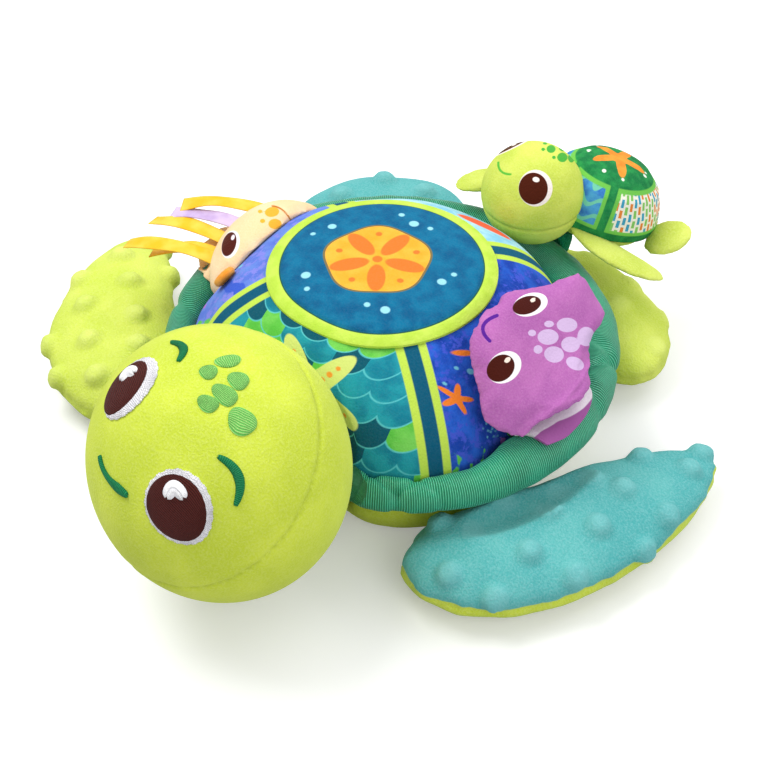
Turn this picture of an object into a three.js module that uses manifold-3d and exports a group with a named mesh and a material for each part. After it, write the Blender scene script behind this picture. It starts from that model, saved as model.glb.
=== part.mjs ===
// Plush sea turtle with a printed padded shell, soft flippers, a ray that lifts like a flap,
// an octopus with ribbon arms, and a baby turtle that pulls off the shell's rear edge.
// Millimetres, +Z up. The mother looks along -Y, so her own left is +X. The floor is z = 0.
import * as THREE from 'three';
import { mergeVertices } from 'three/addons/utils/BufferGeometryUtils.js';
import Module from 'manifold-3d';

const wasm = await Module();
wasm.setup();

// Clearances
const seatGap = 0.4;       // between soft pieces that rest on each other
const turnGap = 0.5;       // round a piece that turns in its seat

// Outline of the shell seen from above, at the middle of the rim roll
const shellHalfWidth = 91;
const shellFrontReach = 94;
const shellRearReach = 91;
const headHollow = 22;           // how far the head pushes the front of the shell in
const headHollowHalfAngle = 24;  // degrees

// Rim roll, domed shell and crown
const rimRadius = 10;
const rimHeight = 46;
const domeRise = 45;
const crownShift = [-4, -5];      // the crown's middle, from the middle of the outline
const domeSidePower = 4;
const domeCrownPower = 0.7;
const domeSideSlope = 3;           // how steeply the shell falls beyond its edge, as rise over run
const shellBaseHeight = 38;
const crownShare = 0.62;         // of the dome's own radius
const crownThickness = 2.5;
const crownEdge = 1;

// Belly: share of the outline and share of the belly's height, from the floor up
const bellyShares = [
  [0.74, 0], [0.84, 0.1], [0.89, 0.28], [0.905, 0.45], [0.9, 0.65], [0.88, 0.85], [0.84, 1],
];

// Head and neck
const headRadius = 53;
const headHalfWidth = 57;
const headNestle = 13;           // how far the head sinks into the hollow of the rim
const headSideways = 7.5;        // her head is turned a little, so its middle is off her own
const headHeight = 69;
const headLeftAxis = new THREE.Vector3(0.816, -0.459, -0.353).normalize();
const headFaceAxis = new THREE.Vector3(-0.232, -0.846, 0.482);
const headTurnLimit = 12;        // degrees each way, about the neck
const neckRadius = 34;
const neckHalfHeight = 16;
const neckHeight = 19;
const neckReach = 80;            // from the shell's middle, forwards

// Flippers
const flipperSeamHeight = 14;
const frontFlipperLength = 140;
const frontFlipperHalfWidth = 33;
const frontFlipperHalfThickness = 13;
const frontFlipperAngle = 51;    // degrees from straight ahead, where it is sewn on
const rearFlipperLength = 66;
const rearFlipperHalfWidth = 40;
const rearFlipperHalfThickness = 12.5;
const flipperFullness = 2.2;     // power of a flipper's swell along its length: 2 is an oval
const flipperSections = 13;
const flipperSides = 14;

// Ray flap on the mother's left side
const rayAngle = 91;             // degrees from straight ahead
const rayPlaceShare = 0.85;      // of the dome's own radius, for the ray's middle
const rayLength = 90;            // along the hinge
const rayWidth = 62;             // from the hinge to the free edge
const rayThickness = 9;
const rayEdge = 2;
const rayLift = 6;               // flap's lower side over the dome at its middle
const rayDroop = 7;              // how far its wings and its free edge bend down
const liningThickness = 2.5;
const liningShare = 0.72;

// Octopus on the mother's right side
const octopusAngle = -90;
const octopusPlaceShare = 0.91;
const octopusLength = 72;
const octopusWidth = 44;
const octopusThickness = 11;
const octopusEdge = 5;
const rosetteRadius = 8;
const rosetteThickness = 5;
const ribbonWidth = 8;
const ribbonThickness = 0.9;
const ribbonLength = 46;
const ribbonClearance = 6;       // lowest ribbons over the top of the rim roll, where they start
const ribbonSpacing = 2;         // from one layer of ribbons to the next

// Baby turtle
const babyShellHalfWidth = 26;
const babyShellHalfLength = 28;
const babyShellRise = 24;
const babyBellyHeight = 12;
const babyHeadRadius = 23;
const babyHeadForward = 38;      // from the middle of her shell to the middle of her head
const babyHeadLift = 1;
const babyHeadAngle = 174;       // degrees from straight ahead, where her head rests on the rim roll
const babyHeading = -32;         // degrees, turned towards the mother's right
const babyPitch = 20;            // degrees, nose up
const babyFlipperHalfWidth = 9.5;
const babyFlipperHalfThickness = 3;
const patchRadius = 10;
const patchThickness = 1.6;
const dockThickness = 16;

const vector = (x, y, z) => new THREE.Vector3(x, y, z);
const radians = THREE.MathUtils.degToRad;
const range = (count) => Array.from({ length: count }, (unused, i) => i);

// Outline and dome as functions of direction, measured from straight ahead (-Y) towards +X
function outlineRadius(angle, hollow = headHollow) {
  const reach = Math.cos(angle) > 0 ? shellFrontReach : shellRearReach;
  const oval = 1 / Math.hypot(Math.sin(angle) / shellHalfWidth, Math.cos(angle) / reach);
  const turn = Math.atan2(Math.sin(angle), Math.cos(angle)) / radians(headHollowHalfAngle);
  return oval - hollow * Math.exp(-turn * turn);
}

function outward(angle) {
  return vector(Math.sin(angle), -Math.cos(angle), 0);
}

function outlinePoint(angle, share, height) {
  const point = outward(angle).multiplyScalar(share * outlineRadius(angle));
  point.z = height;
  return point;
}

// The dome ends against the inner side of the rim roll, and the hollow for the head fades towards the crown
function domeRadius(angle, share) {
  return outlineRadius(angle, headHollow * Math.pow(Math.min(share, 1), 4)) - rimRadius - 2 * seatGap;
}

function domeHeightShare(share) {
  return Math.pow(1 - Math.pow(Math.min(share, 1), domeSidePower), domeCrownPower);
}

function domeHeight(x, y) {
  let share = 0;
  for (let i = 0; i < 12; i += 1) {
    const shift = 1 - Math.min(1, share * share);
    const [dx, dy] = [x - shift * crownShift[0], y - shift * crownShift[1]];
    share = Math.hypot(dx, dy) / domeRadius(Math.atan2(dx, -dy), share);
  }
  const overhang = Math.max(0, share - 1) * shellHalfWidth;
  return rimHeight + domeRise * domeHeightShare(share) - domeSideSlope * overhang;
}

// Top of the shell and of the rim roll round it
function topHeight(x, y) {
  const fromMiddle = Math.hypot(x, y) - outlineRadius(Math.atan2(x, -y));
  const rimTop = rimHeight + Math.sqrt(Math.max(0, rimRadius * rimRadius - fromMiddle * fromMiddle));
  return Math.abs(fromMiddle) < rimRadius ? Math.max(rimTop, domeHeight(x, y)) : domeHeight(x, y);
}

function domePoint(angle, share) {
  const shift = 1 - Math.min(1, share * share);
  const point = outward(angle).multiplyScalar(share * domeRadius(angle, share));
  const height = rimHeight + domeRise * domeHeightShare(share);
  return point.add(vector(shift * crownShift[0], shift * crownShift[1], height));
}

// Closed bodies
function bodyFrom(points, index) {
  let volume = 0;
  for (let i = 0; i < index.length; i += 3) {
    const [a, b, c] = [points[index[i]], points[index[i + 1]], points[index[i + 2]]];
    volume += a.dot(b.clone().cross(c));
  }
  if (volume < 0) {
    index.reverse();
  }
  const geometry = new THREE.BufferGeometry();
  geometry.setAttribute('position', new THREE.Float32BufferAttribute(points.flatMap((p) => p.toArray()), 3));
  geometry.setIndex(index);
  return geometry;
}

function bandBetween(ring, next, count) {
  return range(count).flatMap((i) => {
    const j = (i + 1) % count;
    return [ring + i, ring + j, next + j, ring + i, next + j, next + i];
  });
}

// Rings of points in a row, closed at both ends on a middle point
function ringBody(rings, first, last) {
  const count = rings[0].length;
  const end = 1 + rings.length * count;
  const index = range(rings.length - 1).flatMap((k) => {
    return bandBetween(1 + k * count, 1 + (k + 1) * count, count);
  });
  for (const i of range(count)) {
    const j = (i + 1) % count;
    index.push(0, 1 + j, 1 + i);
    index.push(end, end - count + i, end - count + j);
  }
  return bodyFrom([first, ...rings.flat(), last], index);
}

// Rings of points in a closed loop
function loopBody(rings) {
  const count = rings[0].length;
  const index = rings.flatMap((ring, k) => bandBetween(k * count, ((k + 1) % rings.length) * count, count));
  return bodyFrom(rings.flat(), index);
}

// Solids to cut with
function solidFrom(geometry) {
  const bare = geometry.clone();
  bare.deleteAttribute('normal');
  bare.deleteAttribute('uv');
  const merged = mergeVertices(bare);
  const vertProperties = new Float32Array(merged.attributes.position.array);
  const triVerts = new Uint32Array(merged.index.array);
  return new wasm.Manifold(new wasm.Mesh({ numProp: 3, vertProperties, triVerts }));
}

function cutBy(geometry, cutters) {
  const solid = cutters.reduce((rest, cutter) => rest.subtract(solidFrom(cutter)), solidFrom(geometry));
  const mesh = solid.getMesh();
  const result = new THREE.BufferGeometry();
  result.setAttribute('position', new THREE.Float32BufferAttribute(mesh.vertProperties, 3));
  result.setIndex([...mesh.triVerts]);
  return result;
}

const group = new THREE.Group();

function piece(name, geometry, colour, parent = group) {
  const material = new THREE.MeshStandardMaterial({ color: colour, roughness: 0.95, metalness: 0 });
  const mesh = new THREE.Mesh(geometry, material);
  mesh.name = name;
  parent.add(mesh);
  return mesh;
}

const colours = {
  lime: '#cde048', aqua: '#6ccfc8', rim: '#0f966a', shell: '#2f8fa8', crown: '#0f699b', ray: '#c378c3',
  lining: '#e8e4ee', peach: '#fad7aa', orange: '#f5963c', yellow: '#fac328', lilac: '#c3aad7',
  babyShell: '#23874b', patch: '#146446',
};

// Head ball, wider parts of which turn with it: round about its own left-right axis
const headCentre = vector(headSideways, headNestle - outlineRadius(0) - rimRadius - headRadius, headHeight);
const neckCentre = vector(0, -neckReach, neckHeight);
const headFrame = new THREE.Matrix4().makeBasis(
  headLeftAxis,
  headFaceAxis.clone().cross(headLeftAxis).cross(headLeftAxis).normalize(),
  headFaceAxis.clone().cross(headLeftAxis).normalize(),
);

function headBall(growth, turn) {
  const ball = new THREE.SphereGeometry(headRadius + growth, 28, 20);
  ball.scale((headHalfWidth + growth) / (headRadius + growth), 1, 1);
  ball.applyMatrix4(headFrame);
  ball.translate(...headCentre.clone().sub(neckCentre).toArray());
  ball.rotateZ(radians(turn));
  ball.translate(...neckCentre.toArray());
  return ball;
}

// The neck is round seen from above, so it can turn in the belly without touching it
function neckBall(growth, halfHeight) {
  const ball = new THREE.SphereGeometry(neckRadius + growth, 24, 12);
  ball.rotateX(Math.PI / 2);
  ball.scale(1, 1, halfHeight / (neckRadius + growth));
  ball.translate(...neckCentre.toArray());
  return ball;
}

const headSweepShares = [-1, -0.67, -0.33, 0, 0.33, 0.67, 1];
const headSweep = headSweepShares.map((share) => headBall(turnGap, share * headTurnLimit));

// Belly, shell, rim roll and crown
const shellSides = 44;
const shellAngles = range(shellSides).map((i) => (2 * Math.PI * i) / shellSides);

// Share of the outline that the belly reaches at a height, less what its flat sides take off
function bellyShareAt(height) {
  const rise = height / (shellBaseHeight - seatGap);
  const i = Math.max(1, bellyShares.findIndex(([share, top]) => top >= rise));
  const [[share, low], [nextShare, high]] = [bellyShares[i - 1], bellyShares[i]];
  return (share + ((nextShare - share) * (rise - low)) / (high - low)) * Math.cos(Math.PI / shellSides);
}

function bellyBody() {
  const rings = bellyShares.map(([share, rise]) => {
    return shellAngles.map((angle) => outlinePoint(angle, share, rise * (shellBaseHeight - seatGap)));
  });
  const body = ringBody(rings, vector(0, 0, 0), vector(0, 0, shellBaseHeight - seatGap));
  return cutBy(body, [neckBall(turnGap, neckHalfHeight + turnGap)]);
}

const shellRingShares = [1, 0.985, 0.95, 0.89, 0.81, 0.7, 0.56, 0.4, 0.22];

function shellBody() {
  const rings = shellRingShares.map((share) => shellAngles.map((angle) => domePoint(angle, share)));
  const foot = shellAngles.map((angle) => {
    const point = domePoint(angle, 1);
    point.z = shellBaseHeight;
    return point;
  });
  return cutBy(ringBody([foot, ...rings], vector(0, 0, shellBaseHeight), domePoint(0, 0)), headSweep);
}

function rimBody(growth) {
  const sections = 60;
  const sides = 9;
  const rings = range(sections).map((k) => {
    const angle = (2 * Math.PI * k) / sections;
    const middle = outlinePoint(angle, 1, rimHeight);
    return range(sides).map((i) => {
      const turn = (2 * Math.PI * i) / sides;
      const step = outward(angle).multiplyScalar((rimRadius + growth) * Math.cos(turn));
      return middle.clone().add(step).add(vector(0, 0, (rimRadius + growth) * Math.sin(turn)));
    });
  });
  return cutBy(loopBody(rings), headSweep);
}

const crownLowerShares = [0.35, 0.65, 0.85, 1];
const crownUpperShares = [0.93, 0.75, 0.45];

function crownBody() {
  const rings = [];
  const level = (share, lift) => range(32).map((i) => {
    const point = domePoint((2 * Math.PI * i) / 32, share * crownShare);
    point.z += lift;
    return point;
  });
  for (const share of crownLowerShares) {
    rings.push(level(share, seatGap));
  }
  rings.push(level(1, seatGap + crownEdge));
  for (const share of crownUpperShares) {
    rings.push(level(share, seatGap + crownThickness));
  }
  const [low, high] = [seatGap, seatGap + crownThickness].map((lift) => {
    return domePoint(0, 0).add(vector(0, 0, lift));
  });
  return ringBody(rings, low, high);
}

piece('belly', bellyBody(), colours.lime);
piece('shell', shellBody(), colours.shell);
piece('shell_crown', crownBody(), colours.crown);
piece('rim_roll', rimBody(0), colours.rim);
piece('neck', cutBy(neckBall(0, neckHalfHeight), [headBall(turnGap, 0)]), colours.lime);
piece('head', headBall(0, 0), colours.lime);

// A stuffed limb: sections round a bent middle line, swelling from the seam and tapering to the tip
function limbBody(line, length, halfWidth, halfThickness, sections, sides) {
  const swell = (along) => Math.sqrt(1 - Math.pow(Math.abs(2 * along - 1), flipperFullness));
  const rings = range(sections - 1).map((k) => {
    const along = (1 - Math.cos((Math.PI * (k + 1)) / sections)) / 2;
    const middle = line.getPoint(along).multiplyScalar(length);
    const ahead = line.getTangent(along);
    const across = vector(-ahead.y, ahead.x, 0).normalize();
    return range(sides).map((i) => {
      const turn = (2 * Math.PI * i) / sides;
      const step = across.clone().multiplyScalar(halfWidth * swell(along) * Math.cos(turn));
      return middle.clone().add(step).add(vector(0, 0, halfThickness * swell(along) * Math.sin(turn)));
    });
  });
  return ringBody(rings, line.getPoint(0), line.getPoint(1).multiplyScalar(length));
}

// Middle line of a limb: outward and backward shares of its length
function bentLine(side, bendShares, tipShares) {
  return new THREE.QuadraticBezierCurve3(
    vector(0, 0, 0),
    vector(bendShares[0], side * bendShares[1], 0),
    vector(tipShares[0], side * tipShares[1], 0),
  );
}

// A limb is sewn on where its direction from the middle of the belly meets the belly's side
function sewOn(name, geometry, colour, angle) {
  const seat = new THREE.Group();
  const root = outlinePoint(radians(angle), bellyShareAt(flipperSeamHeight), flipperSeamHeight);
  seat.position.copy(root.add(outward(radians(angle)).multiplyScalar(seatGap)));
  seat.rotation.z = radians(angle - 90);
  piece(name, geometry, colour, seat);
  group.add(seat);
}

const flippers = [
  {
    name: 'front_flipper_left', side: 1, angle: frontFlipperAngle, colour: colours.aqua, front: true,
    bendShares: [0.405, 0.05], tipShares: [-0.03, 0.92],
  },
  {
    name: 'front_flipper_right', side: -1, angle: -frontFlipperAngle, colour: colours.lime, front: true,
    bendShares: [0.47, 0.02], tipShares: [0.28, 0.81],
  },
  {
    name: 'rear_flipper_left', side: 1, angle: 150, colour: colours.lime, front: false,
    bendShares: [0.4, 0.03], tipShares: [0.78, 0.14],
  },
  {
    name: 'rear_flipper_right', side: -1, angle: -141, colour: colours.aqua, front: false,
    bendShares: [0.58, 0.02], tipShares: [1.15, 0],
  },
];

for (const flipper of flippers) {
  const length = flipper.front ? frontFlipperLength : rearFlipperLength;
  const halfWidth = flipper.front ? frontFlipperHalfWidth : rearFlipperHalfWidth;
  const halfThickness = flipper.front ? frontFlipperHalfThickness : rearFlipperHalfThickness;
  const line = bentLine(flipper.side, flipper.bendShares, flipper.tipShares);
  const body = limbBody(line, length, halfWidth, halfThickness, flipperSections, flipperSides);
  sewOn(flipper.name, body, flipper.colour, flipper.angle);
}

// Pads that lie on the dome are drawn in a flat frame that touches it, along the shell and down its slope
function slopeFrame(angle, share) {
  const step = 0.01;  // a small turn and a small share of the way down the slope
  const origin = domePoint(angle, share);
  const along = domePoint(angle + step, share).sub(domePoint(angle - step, share)).normalize();
  const down = domePoint(angle, share + step).sub(domePoint(angle, share - step)).normalize();
  return { origin, along, down, up: down.clone().cross(along).normalize() };
}

// Height over the flat frame at which a line square to it meets the shell or the rim roll
function topUnder(frame, a, b) {
  const foot = frame.origin.clone().addScaledVector(frame.along, a).addScaledVector(frame.down, b);
  let low = -shellHalfWidth / 2;
  let high = shellHalfWidth / 4;
  for (let i = 0; i < 30; i += 1) {
    const middle = (low + high) / 2;
    const point = foot.clone().addScaledVector(frame.up, middle);
    if (point.z > topHeight(point.x, point.y)) {
      high = middle;
    } else {
      low = middle;
    }
  }
  return { foot, height: high };
}

// A pad: an outline in the frame, a height for its lower side and a thickness that swells to its middle
function padBody(frame, outline, lower, thickness, edge, rings) {
  const point = (a, b, lift) => {
    const under = topUnder(frame, a, b);
    return under.foot.addScaledVector(frame.up, lower(under.height, a, b) + lift);
  };
  const level = (share, lift) => outline.map(([a, b]) => point(share * a, share * b, lift));
  const shares = range(rings).map((k) => (k + 1) / rings);
  const swell = (share) => edge + (thickness - edge) * Math.sqrt(Math.max(0, 1 - share ** 3));
  const below = shares.map((share) => level(share, 0));
  const above = [...shares].reverse().map((share) => level(share, swell(share)));
  return ringBody([...below, ...above], point(0, 0, 0), point(0, 0, swell(0)));
}

// Outline from shares of half a length and half a width, rounded by a closed spline
function roundedOutline(shares, length, width, count) {
  const corners = shares.map(([a, b]) => vector((a * length) / 2, (b * width) / 2, 0));
  const curve = new THREE.CatmullRomCurve3(corners, true, 'centripetal');
  return range(count).map((i) => curve.getPoint(i / count)).map((p) => [p.x, p.y]);
}

// Ray: its nose lies by the crown, its wings follow the shell and its free edge hangs towards the rim
const raySeat = slopeFrame(radians(rayAngle), rayPlaceShare);
const rayOutlineShares = [
  [-0.55, -0.78], [-0.12, -0.91], [0.49, -0.66], [0.95, -0.38], [1.08, -0.05], [1.02, 0.35], [0.7, 0.54],
  [0.45, 0.86], [0.22, 1.05], [-0.08, 1.07], [-0.54, 0.89], [-0.82, 0.58], [-0.93, 0.2], [-0.84, -0.16],
  [-0.72, -0.4],
];
const rayOutline = roundedOutline(rayOutlineShares, rayLength, rayWidth, 30);
const liningTop = seatGap + liningThickness;

function rayLower(height, a, b) {
  const [along, down] = [(2 * a) / rayLength, (2 * b) / rayWidth];
  const droop = (along * along + Math.max(0, down) ** 2) / 2;
  return Math.max(height + liningTop + seatGap, rayLift - rayDroop * droop);
}

const liningOutline = rayOutline.map(([a, b]) => [liningShare * a, liningShare * b]);
const resting = (height) => height + seatGap;
const liningBody = padBody(raySeat, liningOutline, resting, liningThickness, liningThickness / 2, 3);
piece('ray_lining', liningBody, colours.lining);
piece('ray_flap', padBody(raySeat, rayOutline, rayLower, rayThickness, rayEdge, 4), colours.ray);

// Octopus: a stuffed half ball sewn on the right side, with a rosette at its front end
const octopusSeat = slopeFrame(radians(octopusAngle), octopusPlaceShare);
const octopusOutlineShares = [
  [1, 0.1], [0.85, -0.45], [0.45, -0.85], [-0.1, -0.9], [-0.6, -0.62], [-1, -0.1],
  [-0.85, 0.4], [-0.35, 0.85], [0.3, 1], [0.8, 0.7],
];
const octopusOutline = roundedOutline(octopusOutlineShares, octopusLength, octopusWidth, 26);

function octopusBody(growth) {
  const outline = octopusOutline.map(([a, b]) => {
    return [a * (1 + (2 * growth) / octopusLength), b * (1 + (2 * growth) / octopusWidth)];
  });
  const lower = (height) => height + seatGap - growth;
  return padBody(octopusSeat, outline, lower, octopusThickness + 2 * growth, octopusEdge + 2 * growth, 6);
}

piece('octopus', cutBy(octopusBody(0), [rimBody(seatGap)]), colours.peach);

// Round disc standing on z = 0
function discBody(radius, thickness, sides) {
  const edge = thickness / 4;
  const below = [[0, 0], [radius - edge, 0], [radius, edge]];
  const above = [[radius, thickness - edge], [radius - edge, thickness], [0, thickness]];
  const profile = [...below, ...above].map(([r, z]) => new THREE.Vector2(r, z));
  const disc = new THREE.LatheGeometry(profile, sides);
  return disc.rotateX(Math.PI / 2);
}

function turnedTo(geometry, across, up, origin) {
  const frame = new THREE.Matrix4().makeBasis(across, up.clone().cross(across), up).setPosition(origin);
  return geometry.applyMatrix4(frame);
}

const rosettePlace = [octopusLength / 2, -octopusWidth / 3];
const rosetteUnder = topUnder(octopusSeat, ...rosettePlace);
const rosetteLift = rosetteUnder.height + rosetteThickness / 2;
const rosetteOrigin = rosetteUnder.foot.addScaledVector(octopusSeat.up, rosetteLift);

function rosetteBody(growth) {
  const disc = discBody(rosetteRadius + growth, rosetteThickness + growth, 16);
  return turnedTo(disc, octopusSeat.along, octopusSeat.up, rosetteOrigin);
}

const raisedShell = shellBody().translate(0, 0, seatGap);
const octopusSeatCutters = [raisedShell, rimBody(seatGap), octopusBody(seatGap)];
piece('octopus_rosette', cutBy(rosetteBody(0), octopusSeatCutters), colours.orange);

// Ribbon arms: flat strips that leave the octopus and reach out over the rim
function ribbonBody(path, width, thickness, steps) {
  const curve = new THREE.CatmullRomCurve3(path);
  const rings = range(steps + 1).map((k) => {
    const [middle, ahead] = [curve.getPoint(k / steps), curve.getTangent(k / steps)];
    const across = vector(-ahead.y, ahead.x, 0).normalize().multiplyScalar(width / 2);
    const above = ahead.clone().cross(across).normalize().multiplyScalar(thickness / 2);
    return [[1, 1], [-1, 1], [-1, -1], [1, -1]].map(([i, j]) => {
      return middle.clone().addScaledVector(across, i).addScaledVector(above, j);
    });
  });
  return ringBody(rings, curve.getPoint(0), curve.getPoint(1));
}

const ribbons = [
  { alongShare: 0.5, heading: 18, lengthShare: 1, level: 0, droopShare: 0.06, colour: colours.yellow },
  { alongShare: 0.12, heading: 11, lengthShare: 1, level: 0, droopShare: 0.02, colour: colours.yellow },
  { alongShare: 0.33, heading: 24, lengthShare: 0.8, level: -1, droopShare: 0.12, colour: colours.yellow },
  { alongShare: -0.17, heading: 16, lengthShare: 0.9, level: 1, droopShare: 0.04, colour: colours.lilac },
  { alongShare: -0.57, heading: 28, lengthShare: 0.95, level: 2, droopShare: 0.02, colour: colours.yellow },
];
const ribbonStart = rimHeight + rimRadius + ribbonClearance;
const ribbonStepShares = [0, 0.33, 0.66, 1];

const ribbonClearances = [[-1, 0, 0], [0, 0, 0], [0, 0, 1], [0, 0, -1]].map((shift) => {
  const [x, y, z] = shift.map((share) => share * seatGap);
  return octopusBody(0).translate(x, y, z);
});
const ribbonCutters = [...ribbonClearances, rosetteBody(seatGap)];

ribbons.forEach((ribbon, i) => {
  const startAlong = (ribbon.alongShare * octopusLength) / 2;
  const start = octopusSeat.origin.clone().addScaledVector(octopusSeat.along, startAlong);
  start.x -= octopusWidth / 4;
  start.z = ribbonStart + ribbon.level * ribbonSpacing;
  const [reach, turn] = [ribbon.lengthShare * ribbonLength, radians(ribbon.heading)];
  const path = ribbonStepShares.map((share) => {
    const drop = ribbon.droopShare * reach * share * share;
    return start.clone().add(vector(-Math.cos(turn) * share * reach, -Math.sin(turn) * share * reach, -drop));
  });
  const body = cutBy(ribbonBody(path, ribbonWidth, ribbonThickness, 8), ribbonCutters);
  piece(`octopus_ribbon_${i + 1}`, body, ribbon.colour);
});

// Baby: her own frame has its middle where shell and belly meet, -Y ahead, +X to her left
const baby = new THREE.Group();
baby.rotation.set(-radians(babyPitch), 0, radians(babyHeading), 'ZYX');
const babyAhead = vector(0, -1, 0).applyEuler(baby.rotation);
const babyUp = vector(0, 0, 1).applyEuler(baby.rotation);

// Her head rests against the dome and on the rim roll, which places the rest of her
const babyHeadSide = radians(babyHeadAngle);
const babyHeadPlace = outward(babyHeadSide).multiplyScalar(outlineRadius(babyHeadSide) + seatGap);
babyHeadPlace.z = rimHeight + rimRadius + babyHeadRadius;
baby.position.copy(babyHeadPlace);
baby.position.addScaledVector(babyAhead, -babyHeadForward).addScaledVector(babyUp, -babyHeadLift);
group.add(baby);

function babyBall(growth) {
  const ball = new THREE.SphereGeometry(babyHeadRadius + growth, 20, 14);
  return ball.rotateX(Math.PI / 2).translate(0, -babyHeadForward, babyHeadLift);
}

function babyRing(share, height) {
  return range(24).map((i) => {
    const turn = (2 * Math.PI * i) / 24;
    const [wide, long] = [share * babyShellHalfWidth, share * babyShellHalfLength];
    return vector(wide * Math.sin(turn), -long * Math.cos(turn), height);
  });
}

const babyShellShares = [[0.96, 0], [1, 0.12], [0.97, 0.35], [0.86, 0.62], [0.66, 0.85], [0.36, 0.97]];
const babyBellyShares = [[0.7, 0], [0.88, 0.15], [0.96, 0.5], [0.93, 0.9], [0.9, 1]];
const babyShellRings = babyShellShares.map(([share, rise]) => babyRing(share, rise * babyShellRise));

function babyShell(growth) {
  const shell = ringBody(babyShellRings, vector(0, 0, 0), vector(0, 0, babyShellRise));
  const [wide, long] = [babyShellHalfWidth, babyShellHalfLength].map((half) => (half + growth) / half);
  return shell.scale(wide, long, (babyShellRise + growth) / babyShellRise).translate(0, 0, -growth);
}

const babyBellyRings = babyBellyShares.map(([share, rise]) => {
  return babyRing(share, (rise - 1) * (babyBellyHeight - seatGap) - seatGap);
});

function babyBelly(growth) {
  const belly = ringBody(babyBellyRings, vector(0, 0, -babyBellyHeight), vector(0, 0, -seatGap));
  const [wide, long] = [babyShellHalfWidth, babyShellHalfLength].map((half) => (half + growth) / half);
  return belly.scale(wide, long, (babyBellyHeight + growth) / babyBellyHeight);
}

piece('baby_head', babyBall(0), colours.lime, baby);
piece('baby_shell', cutBy(babyShell(0), [babyBall(seatGap)]), colours.babyShell, baby);
piece('baby_belly', cutBy(babyBelly(0), [babyBall(seatGap)]), colours.lime, baby);

// Baby flippers: root, bend and tip as shares of her half width, half length and belly height
const babyFlippers = [
  {
    name: 'baby_front_flipper_left',
    rootShares: [0.74, -0.6, -0.5], bendShares: [1.45, -0.5, -0.6], tipShares: [1.65, 0.62, -0.75],
  },
  {
    name: 'baby_front_flipper_right',
    rootShares: [-0.74, -0.6, -0.5], bendShares: [-1.45, -1.25, -0.9], tipShares: [-1.05, -2.1, -1.5],
  },
  {
    name: 'baby_rear_flipper_left',
    rootShares: [0.62, 0.64, -0.3], bendShares: [1, 0.85, 0], tipShares: [1.45, 1.08, 0.35],
  },
  {
    name: 'baby_rear_flipper_right',
    rootShares: [-0.62, 0.64, -0.3], bendShares: [-1, 0.85, 0], tipShares: [-1.45, 1.08, 0.35],
  },
];
for (const flipper of babyFlippers) {
  const [root, bend, tip] = [flipper.rootShares, flipper.bendShares, flipper.tipShares].map(([x, y, z]) => {
    return vector(x * babyShellHalfWidth, y * babyShellHalfLength, z * babyBellyHeight);
  });
  const line = new THREE.QuadraticBezierCurve3(root, bend, tip);
  const body = limbBody(line, 1, babyFlipperHalfWidth, babyFlipperHalfThickness, 8, 10);
  const cutters = [babyBelly(seatGap), babyBall(seatGap), babyShell(seatGap)];
  piece(flipper.name, cutBy(body, cutters), colours.lime, baby);
}

// Hook-and-loop patch on her belly, and the padded tab on the rim that it grips
const patchPlace = vector(0, -babyShellHalfLength / 2, -babyBellyHeight - seatGap - patchThickness);
const patch = discBody(patchRadius, patchThickness, 20).translate(...patchPlace.toArray());
piece('baby_hook_patch', cutBy(patch, [babyBall(seatGap)]), colours.patch, baby);
baby.updateMatrixWorld(true);
const dock = discBody(patchRadius, dockThickness, 20).translate(...patchPlace.toArray());
dock.translate(0, 0, -dockThickness - seatGap).applyMatrix4(baby.matrixWorld);
const dockCutters = [rimBody(seatGap), raisedShell, babyBall(seatGap).applyMatrix4(baby.matrixWorld)];
piece('baby_dock', cutBy(dock, dockCutters), colours.patch);

export default group;
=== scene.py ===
import math
import random

import bmesh
import bpy
import numpy as np
from mathutils import Matrix, Vector
from mathutils.bvhtree import BVHTree


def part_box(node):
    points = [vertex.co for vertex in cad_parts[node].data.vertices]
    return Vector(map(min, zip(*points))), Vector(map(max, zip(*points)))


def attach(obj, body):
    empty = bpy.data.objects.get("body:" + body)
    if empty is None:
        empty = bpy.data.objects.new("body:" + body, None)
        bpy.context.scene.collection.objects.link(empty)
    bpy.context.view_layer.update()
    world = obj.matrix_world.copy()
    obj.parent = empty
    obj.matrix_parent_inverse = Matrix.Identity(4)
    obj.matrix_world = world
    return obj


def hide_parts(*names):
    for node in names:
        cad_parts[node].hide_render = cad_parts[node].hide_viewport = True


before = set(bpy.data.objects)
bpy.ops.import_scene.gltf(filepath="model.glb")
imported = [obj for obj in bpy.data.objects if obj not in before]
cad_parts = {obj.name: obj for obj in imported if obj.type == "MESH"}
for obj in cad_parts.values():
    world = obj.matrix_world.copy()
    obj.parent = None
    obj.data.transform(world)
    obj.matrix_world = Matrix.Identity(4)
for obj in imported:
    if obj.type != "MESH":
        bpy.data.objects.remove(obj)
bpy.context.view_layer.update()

# Belly: the stuffed bottom of the body, which rests on the floor and carries all the rest. It is a flat
# cushion of short lime plush filled with fibre, and its edge is sewn to the foot of the shell behind the
# rim roll.
scene = bpy.context.scene
MM = 0.001
LIME, LIME_SHADE, LIME_LIGHT = (208, 224, 70), (194, 212, 60), (234, 244, 150)


def linear(colour):
    """Scene colour of a colour given in 0 to 255."""
    shares = [c / 255 for c in colour]
    return tuple(s / 12.92 if s <= 0.04045 else ((s + 0.055) / 1.055) ** 2.4 for s in shares) + (1,)


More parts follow.
